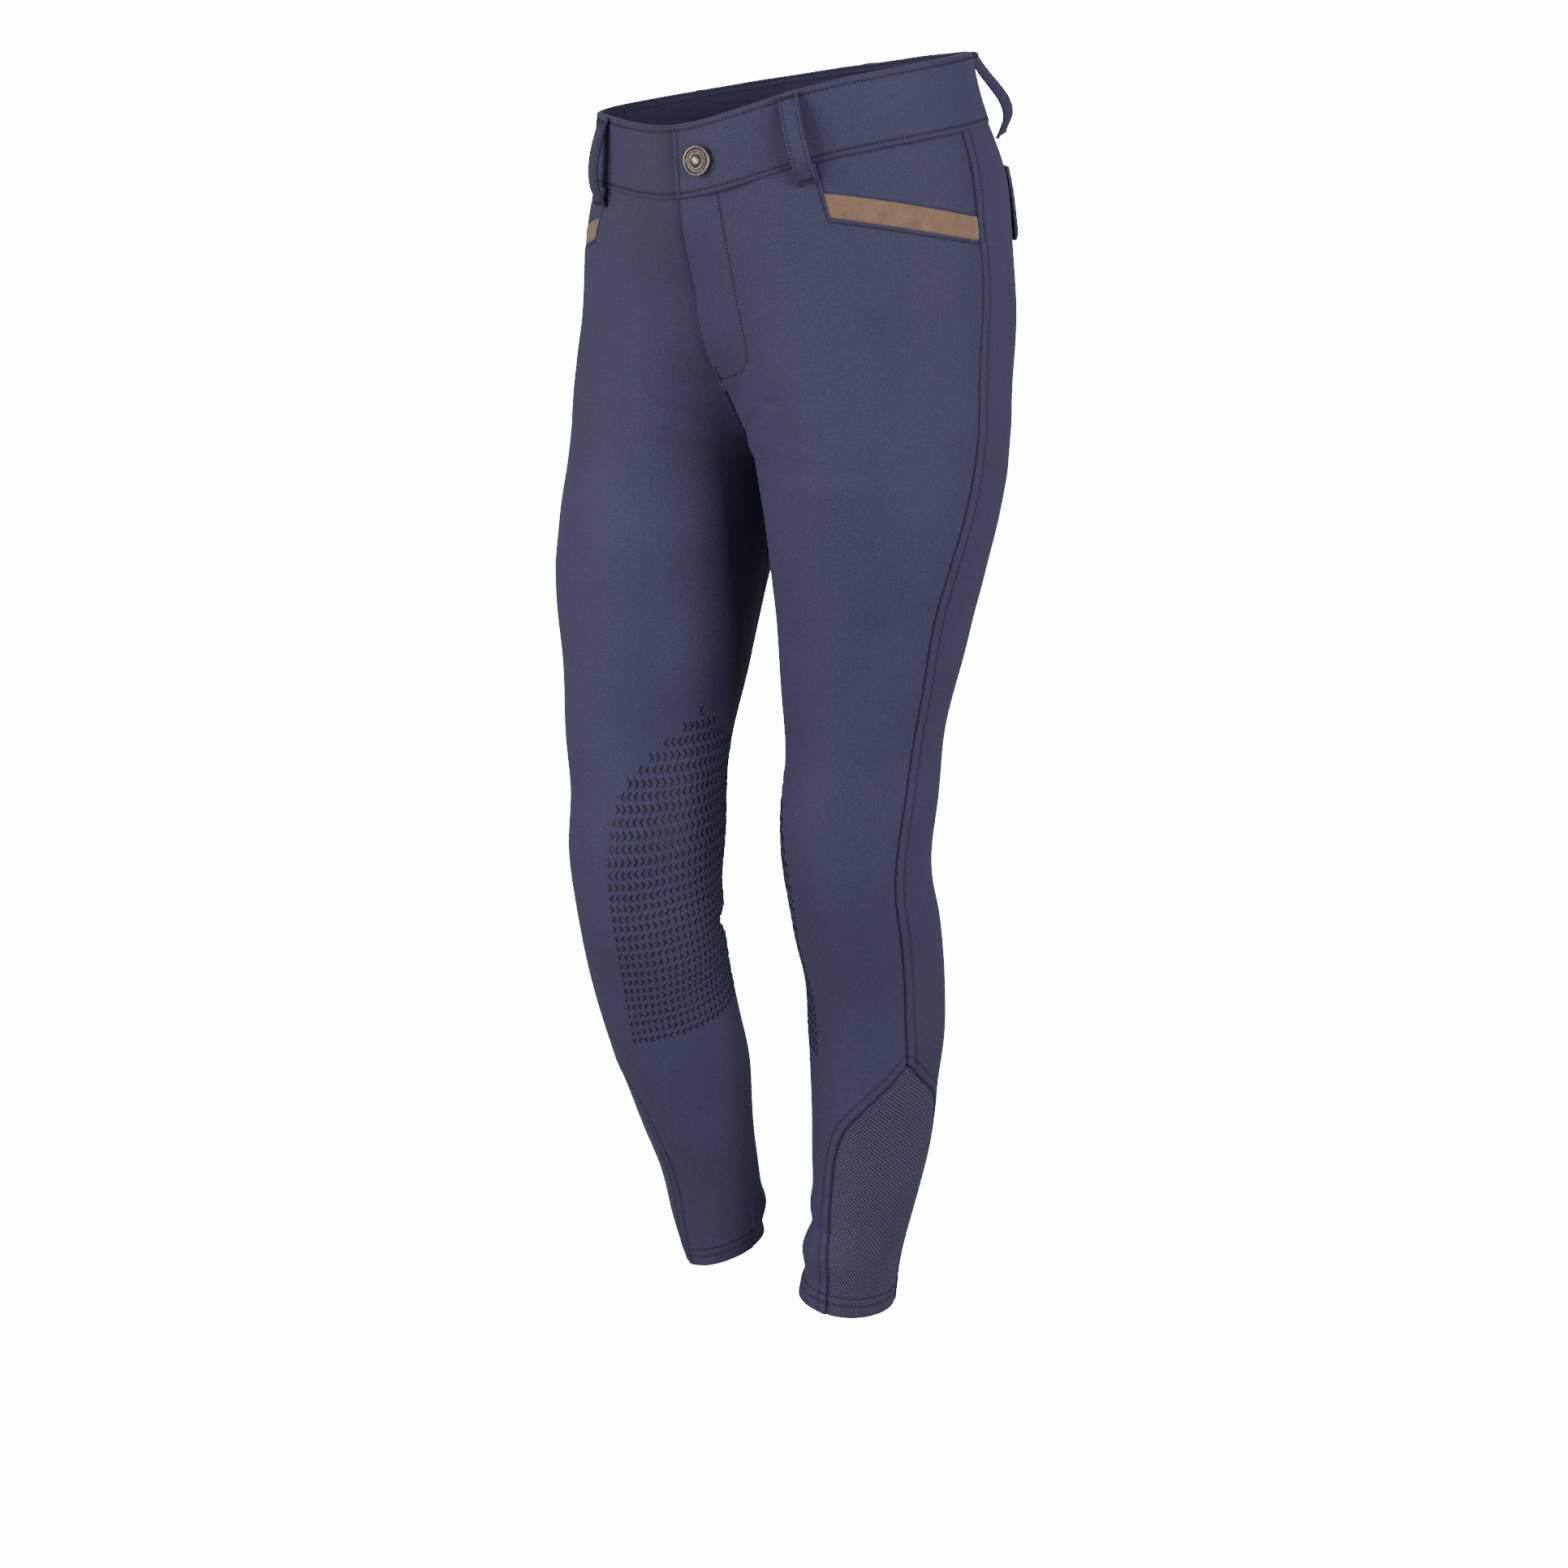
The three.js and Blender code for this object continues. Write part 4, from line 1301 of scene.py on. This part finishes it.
def buildButton(b):
    level = waist["top"] - b["belowTop"]
    here, normal, _, _ = facing(left, acrossAt(b["fromEdge"], level), level)
    turned = math.radians(b["turned"])
    axis = Vector((
        normal[0] * math.cos(turned) - normal[1] * math.sin(turned),
        normal[0] * math.sin(turned) + normal[1] * math.cos(turned),
        normal[2],
    ))
    centre = here + normal * (band["proud"] + band["lapRise"] + b["gap"])
    turn = np.array(axis.to_track_quat("Z", "Y").to_matrix())
    angles = np.linspace(0, math.tau, b["segments"], endpoint=False)
    bead = np.maximum(0, np.cos(angles * b["beads"]))
    rings, bright = [], []
    for radius, rise, worn in b["profile"][1:-1]:
        beaded = bell(radius - b["beadRadius"], b["beadHalf"]) * bead
        height = rise + b["beadRise"] * beaded
        rings.append(np.stack([radius * np.cos(angles), radius * np.sin(angles), height], -1))
        bright.append(np.maximum(worn, beaded))
    places = np.concatenate([[(0, 0, b["profile"][0][1])], *rings, [(0, 0, b["profile"][-1][1])]])
    count = b["segments"]
    last = 1 + (len(rings) - 1) * count
    faces = []
    for i in range(count):
        j = (i + 1) % count
        faces.append((0, 1 + j, 1 + i))
        faces.append((last + i, last + j, len(places) - 1))
        for a in range(1, last, count):
            faces.append((a + i, a + j, a + count + j, a + count + i))
    worn = np.concatenate([[0], *bright, [1]])
    values = {"worn": worn}
    built["waist_button"] = addPiece(
        "waistButton", places @ turn.T + centre, faces, paint=paints["metal"], values=values)


buildButton(button)
print("button ready")


# Thread and print that repeat, laid on the finished cloth by Geometry Nodes

def treeNamed(name, sockets):
    tree = bpy.data.node_groups.new(name, "GeometryNodeTree")
    for title, kind in [("Geometry", "Geometry"), *sockets]:
        tree.interface.new_socket(title, in_out="INPUT", socket_type=f"NodeSocket{kind}")
    tree.interface.new_socket("Geometry", in_out="OUTPUT", socket_type="NodeSocketGeometry")
    return tree, tree.nodes.new("NodeGroupInput").outputs


def finishTree(tree, geometry, paint):
    whole = addNode(tree, "GeometryNodeRealizeInstances", Geometry=geometry).outputs["Geometry"]
    painted = addNode(tree, "GeometryNodeSetMaterial", Geometry=whole, Material=paint).outputs["Geometry"]
    tree.links.new(painted, tree.nodes.new("NodeGroupOutput").inputs["Geometry"])
    return tree


def vectorAt(tree, name):
    settings = {"data_type": "FLOAT_VECTOR"}
    return addNode(tree, "GeometryNodeInputNamedAttribute", settings, Name=name).outputs["Attribute"]


def turnedTo(tree, along):
    settings = {"primary_axis": "Z", "secondary_axis": "X"}
    node = addNode(tree, "FunctionNodeAxesToRotation", settings)
    setSockets(tree, node, {0: vectorAt(tree, "outward"), 1: along})
    return node.outputs[0]


thread = {
    # pitch, a stitch's length, width and height, how far it is turned from the row
    "plain": (2.2, (0.8, 0.38, 0.28), 0),
    "fine": (1.9, (0.6, 0.26, 0.22), 0),
    "tack": (0.6, (1.3, 0.28, 0.3), math.pi / 2),
    "openTack": (1.5, (0.8, 0.38, 0.3), math.pi / 2),
    "segments": 6,
    "rings": 4,
    "seed": 11,
    "sizes": (0.88, 1.1),
}


def stitchTree(t):
    tree, given = treeNamed("stitchRow", [
        ("Pitch", "Float"), ("Stitch Size", "Vector"), ("Turn", "Vector"), ("Thread", "Material"),
    ])
    curve = addNode(tree, "GeometryNodeMeshToCurve", Mesh=given["Geometry"]).outputs["Curve"]
    settings = {"mode": "LENGTH"}
    places = addNode(tree, "GeometryNodeCurveToPoints", settings, Curve=curve, Length=given["Pitch"])
    ball = {"Segments": t["segments"], "Rings": t["rings"], "Radius": 1.0}
    bead = addNode(tree, "GeometryNodeMeshUVSphere", **ball).outputs["Mesh"]
    shape = {"Rotation": given["Turn"], "Scale": given["Stitch Size"]}
    stitch = addNode(tree, "GeometryNodeTransform", Geometry=bead, **shape).outputs["Geometry"]
    chance = addNode(tree, "FunctionNodeRandomValue", {"data_type": "FLOAT"}, Seed=t["seed"])
    setSockets(tree, chance, dict(zip((2, 3), t["sizes"])))
    laid = addNode(
        tree, "GeometryNodeInstanceOnPoints", Points=places.outputs["Points"], Instance=stitch,
        Rotation=turnedTo(tree, places.outputs["Tangent"]), Scale=chance.outputs[1])
    smoothed = addNode(tree, "GeometryNodeSetShadeSmooth", Geometry=laid.outputs["Instances"])
    return finishTree(tree, smoothed.outputs["Geometry"], given["Thread"])


def printTree():
    tree, given = treeNamed("gripPrint", [("Mark", "Object"), ("Print", "Material")])
    mark = addNode(tree, "GeometryNodeObjectInfo", Object=given["Mark"]).outputs["Geometry"]
    laid = addNode(
        tree, "GeometryNodeInstanceOnPoints", Points=given["Geometry"], Instance=mark,
        Rotation=turnedTo(tree, vectorAt(tree, "along")), Scale=vectorAt(tree, "size"))
    return finishTree(tree, laid.outputs["Instances"], given["Print"])


extras = []


# Runs the tree on an object's points and keeps what comes out as its mesh
def grow(piece, tree, values):
    modifier = piece.modifiers.new(tree.name, "NODES")
    modifier.node_group = tree
    for item in tree.interface.items_tree:
        if item.in_out == "INPUT" and item.name in values:
            modifier[item.identifier] = values[item.name]
    graph = bpy.context.evaluated_depsgraph_get()
    data = bpy.data.meshes.new_from_object(piece.evaluated_get(graph))
    piece.modifiers.clear()
    piece.data = data
    extras.append(piece)


def coverOf(*nodes):
    corners, faces = [], []
    for node in nodes:
        data = built[node].data
        start = len(corners)
        corners += [v.co / mm for v in data.vertices]
        faces += [[start + i for i in polygon.vertices] for polygon in data.polygons]
    return BVHTree.FromPolygons(corners, faces)


drop = {"above": 9, "below": 6, "lift": 0.06, "shortest": 4}


# Where a point lands on the cloth, dropped from outside of it
def landing(cover, place, normal, start):
    return cover.ray_cast(Vector(place + normal * start), Vector(-normal), start + drop["below"])[0]


# Drops a line on the cloth from outside; where there is no cloth under it, it breaks off
def laidOn(cover, side, line):
    here, normal, _, _ = facing(side, line[:, 0], line[:, 1])
    runs, run = [], []
    for p, n in zip(here, normal):
        found = landing(cover, p, n, drop["above"])
        if found is None:
            runs.append(run)
            run = []
        else:
            run.append((np.array(found) + n * drop["lift"], n))
    runs.append(run)
    return [([p for p, _ in r], [n for _, n in r]) for r in runs if len(r) >= drop["shortest"]]


stitchRows = stitchTree(thread)


def sew(name, runs, kind="plain"):
    pitch, size, turn = thread[kind]
    places, normals, edges = [], [], []
    for row, outs in runs:
        edges += [(len(places) + i, len(places) + i + 1) for i in range(len(row) - 1)]
        places += row
        normals += outs
    piece = addPiece(name, places, edges=edges, values={"outward": normals})
    shape = {"Stitch Size": [v * mm for v in size], "Turn": (0, 0, turn)}
    grow(piece, stitchRows, {"Pitch": pitch * mm, "Thread": paints["thread"], **shape})


def sewLegs(side):
    name = side["name"]
    lines = seamLines(side)
    cover = coverOf(f"front_{name}", f"back_{name}", f"calf_mesh_{name}")

    def row(line, distance):
        return laidOn(cover, side, offsetLine(side, line, distance))

    fine = row(lines["sideWhole"], sewn["seamStitch"])
    fine += row(lines["insetFront"], -sewn["insetStitch"])
    fine += row(lines["insetBack"], sewn["insetStitch"])
    sew(f"seamStitches_{name}", fine, "fine")
    runs = row(lineAt(atBack, waist["seam"], sewn["seamEnd"]), -sewn["seamStitch"])
    runs += row(mouthLine(side), -pocket["stitch"])
    for up in sewn["hemStitches"]:
        runs += laidOn(cover, side, levelLine(hem["edge"] + up, *sewn["hemRow"]))
    sew(f"legStitches_{name}", runs)

    def behindSeam(height):
        seam = sideSeam(height)
        return seam + pocket["tackBehind"] / facing(side, seam, height)[2]

    sew(f"pocketTack_{name}", laidOn(cover, side, lineAt(behindSeam, *pocket["tack"])), "openTack")


def sewFly():
    cover = coverOf("front_left")
    sew("flyStitches", laidOn(cover, left, flyRow()))
    return laidOn(cover, left, lineAt(lambda h: acrossAt(fly["tackBeside"], h), *fly["tack"]))


def sewBand():
    ends = (waist["top"] - band["stitch"], waist["seam"] + band["stitch"])

    def endRow(height):
        return acrossAt(band["stitch"] - lapLean(height), height)

    runs = []
    for side in sides:
        cover = coverOf(f"waistband_{side['name']}")
        for level in ends:
            start = endRow(level) if side is left else 0.0
            runs += laidOn(cover, side, levelLine(level, start, 1.0, band["rowPoints"]))
    runs += laidOn(coverOf("waistband_left"), left, lineAt(endRow, *ends))
    sew("bandStitches", runs)


def sewLoops():
    runs, tacks = [], []
    first, last = loop["tackColumns"]
    count = loop["tackPoints"]
    for outer, normal in loopFaces:
        for column in loop["stitchColumns"]:
            row = outer[1:-1, column] + normal[1:-1] * loop["stitchLift"]
            runs.append((list(row), list(normal[1:-1])))
        for row in loop["tackRows"]:
            places = np.linspace(outer[row, first], outer[row, last], count) + normal[row] * loop["tackLift"]
            tacks.append((list(places), [normal[row]] * count))
    sew("loopStitches", runs)
    return tacks


def sewFlaps():
    runs = []
    for side in sides:
        runs += laidOn(coverOf(f"back_pocket_flap_{side['name']}"), side, flapLine(flap["stitch"]))
    sew("flapStitches", runs)


for side in sides:
    sewLegs(side)
tacks = sewFly()
sewBand()
tacks += sewLoops()
sewFlaps()
sew("barTacks", tacks, "tack")
print("stitches ready")


# The grip print: rows of small darts on the inner knee, turned about from row to row

grip = {
    "top": -360.4, "bottom": -588.5, "pitch": 4.5, "fromSeam": 5.5, "measuredAt": 0.05, "dropFrom": 8,
    "long": 1.55, "notch": 0.12, "arm": 0.52, "rise": 0.38, "sunk": 0.25, "crown": 0.84, "tall": 0.74,
}
gripTable = (
    "height front back row tilt",
    [
        (-356, 0.03, 0.03, 9.0, 0), (-360.4, 0.044, 0.02, 9.0, 0), (-368.6, 0.069, -0.008, 9.0, 0),
        (-375, 0.0945, -0.035, 9.0, 0), (-384.7, 0.124, -0.07, 8.8, 2), (-392.5, 0.143, -0.1, 8.7, 4),
        (-401, 0.162, -0.13, 8.7, 6), (-409, 0.18, -0.2, 8.8, 12), (-418.5, 0.192, -0.2, 8.8, 18),
        (-436, 0.206, -0.2, 8.8, 28), (-455, 0.2125, -0.2, 8.8, 36), (-472, 0.2144, -0.2, 8, 40),
        (-487, 0.2136, -0.2, 7.1, 43), (-507, 0.2113, -0.2, 6.6, 47), (-538, 0.2128, -0.2, 6.4, 53),
        (-562, 0.2214, -0.2, 6.4, 64), (-588.5, 0.227, -0.2, 6.4, 74),
    ],
)
gripPlace = columnsOf(gripTable)


def gripMark(g):
    shoulder = g["arm"] - 1
    outline = np.array([(-1, 0.5), (shoulder, 0.5), (1, 0), (shoulder, -0.5), (-1, -0.5), (g["notch"], 0)])
    outline = outline * (g["long"], 1)
    middle = outline.mean(axis=0)
    crown = middle + (outline - middle) * g["crown"]
    places = [(*p, -g["sunk"]) for p in outline] + [(*p, g["rise"]) for p in crown]
    faces = [(6, 11, 8, 7), (11, 10, 9, 8), (0, 1, 2, 5), (5, 2, 3, 4)]  # crown and foot
    faces += [(i, i + 6, (i + 1) % 6 + 6, (i + 1) % 6) for i in range(6)]
    return addPiece("gripMark", places, faces)


def gripRows(side, g):
    places, alongs, sizes = [], [], []
    level, turned = g["top"], 1
    while level > g["bottom"]:
        front, back, row, tilt = (float(gripPlace[key](level)) for key in ("front", "back", "row", "tilt"))
        whole = float(facing(side, g["measuredAt"], level)[2])
        front += side["gripTurn"]
        back = max(back + side["gripTurn"], -float(inseam(level)) + g["fromSeam"] / whole)
        count = int((front - back) * whole / g["pitch"])
        across = front - (np.arange(count) + 0.5) * g["pitch"] / whole
        places.append(np.stack([across, level + tilt * (front - across)], -1))
        alongs += [turned] * count
        sizes += [(1, row * g["tall"], 1)] * count
        level -= row
        turned = -turned
    return np.concatenate(places), np.array(alongs), np.array(sizes)


def printGrip(side, mark, tree):
    line, turned, sizes = gripRows(side, grip)
    cover = coverOf(f"front_{side['name']}")
    here, normal, _, _ = facing(side, line[:, 0], line[:, 1])
    step = 0.004
    beside = surface(side, line[:, 0] - step, line[:, 1])
    along = unit(beside - here) * turned[:, None] * side["sign"]
    found = [landing(cover, p, n, grip["dropFrom"]) for p, n in zip(here, normal)]
    kept = [i for i, hit in enumerate(found) if hit is not None]
    places = [np.array(found[i]) for i in kept]
    values = {"outward": normal[kept], "along": along[kept], "size": sizes[kept]}
    piece = addPiece(f"gripPrint_{side['name']}", places, values=values)
    grow(piece, tree, {"Mark": mark, "Print": paints["grip"]})


gripDart = gripMark(grip)
gripPrinting = printTree()
for side in sides:
    printGrip(side, gripDart, gripPrinting)
bpy.data.objects.remove(gripDart)
print("grip print ready")


# What stands for what

for node, piece in built.items():
    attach(piece, "root")
    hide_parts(node)
for piece in extras:
    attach(piece, "root")
# Camera and studio

camera = {"azimuth": 40, "pitch": 18.2, "distance": 1.58, "height": 0.1, "lens": 58.88, "sensor": 36}


def addCamera(c):
    data = bpy.data.cameras.new("studioCamera")
    data.lens = c["lens"]
    data.sensor_width = c["sensor"]
    turn = math.radians(c["azimuth"])
    thing = placed("studioCamera", data)
    thing.location = (math.sin(turn) * c["distance"], -math.cos(turn) * c["distance"], c["height"])
    thing.rotation_euler = (math.radians(90 - c["pitch"]), 0, turn)
    bpy.context.scene.camera = thing


studio = {
    "floorZ": -0.87,
    "domeRadius": 9.0,
    "domeLevels": 4,
    "paper": 14.0,
    "worldStrength": 0.24,
    "lamps": [
        # name, place, aims at, size, power in watts
        ("leftLamp", (-1.7, -2.0, 0.6), (0, 0, -0.5), 1.3, 31),
        ("rightLamp", (2.6, -0.5, 0.5), (0, 0, -0.45), 1.4, 58),
        ("frontLamp", (-0.6, -2.7, -0.1), (0, 0, -0.55), 1.2, 28),
        ("backLamp", (-0.9, 2.4, 1.5), (0, 0, -0.3), 1.8, 8),
    ],
}


# White paper below and all round: the camera sees it, and the lamps alone light the cloth
def addPaper(s):
    white = (1, 1, 1, 1)
    glow = {"Specular IOR Level": 0, "Emission Color": white, "Emission Strength": s["paper"]}
    paper, _, _ = paintNamed("palePaper", (0, 0, 0), glow)
    half, z = s["domeRadius"], s["floorZ"]
    floorData = bpy.data.meshes.new("studioFloor")
    corners = [(-half, -half, z), (half, -half, z), (half, half, z), (-half, half, z)]
    floorData.from_pydata(corners, [], [(0, 1, 2, 3)])
    domeData = bpy.data.meshes.new("studioPaper")
    made = bmesh.new()
    bmesh.ops.create_icosphere(made, subdivisions=s["domeLevels"], radius=half)
    made.to_mesh(domeData)
    made.free()
    for name, data in (("studioFloor", floorData), ("studioPaper", domeData)):
        data.materials.append(paper)
        thing = placed(name, data)
        thing.visible_diffuse = False
        thing.visible_glossy = False
        thing.visible_shadow = False
    world = bpy.data.worlds.new("studioWorld")
    world.use_nodes = True
    around = {"Color": white, "Strength": s["worldStrength"]}
    setSockets(world.node_tree, world.node_tree.nodes["Background"], around)
    bpy.context.scene.world = world


def addLamps(s):
    for name, place, aim, size, power in s["lamps"]:
        light = bpy.data.lights.new(name, "AREA")
        light.size = size
        light.energy = power
        lamp = placed(name, light)
        lamp.location = place
        lamp.rotation_euler = (Vector(aim) - Vector(place)).to_track_quat("-Z", "Y").to_euler()


addCamera(camera)
addPaper(studio)
addLamps(studio)
print("studio ready")
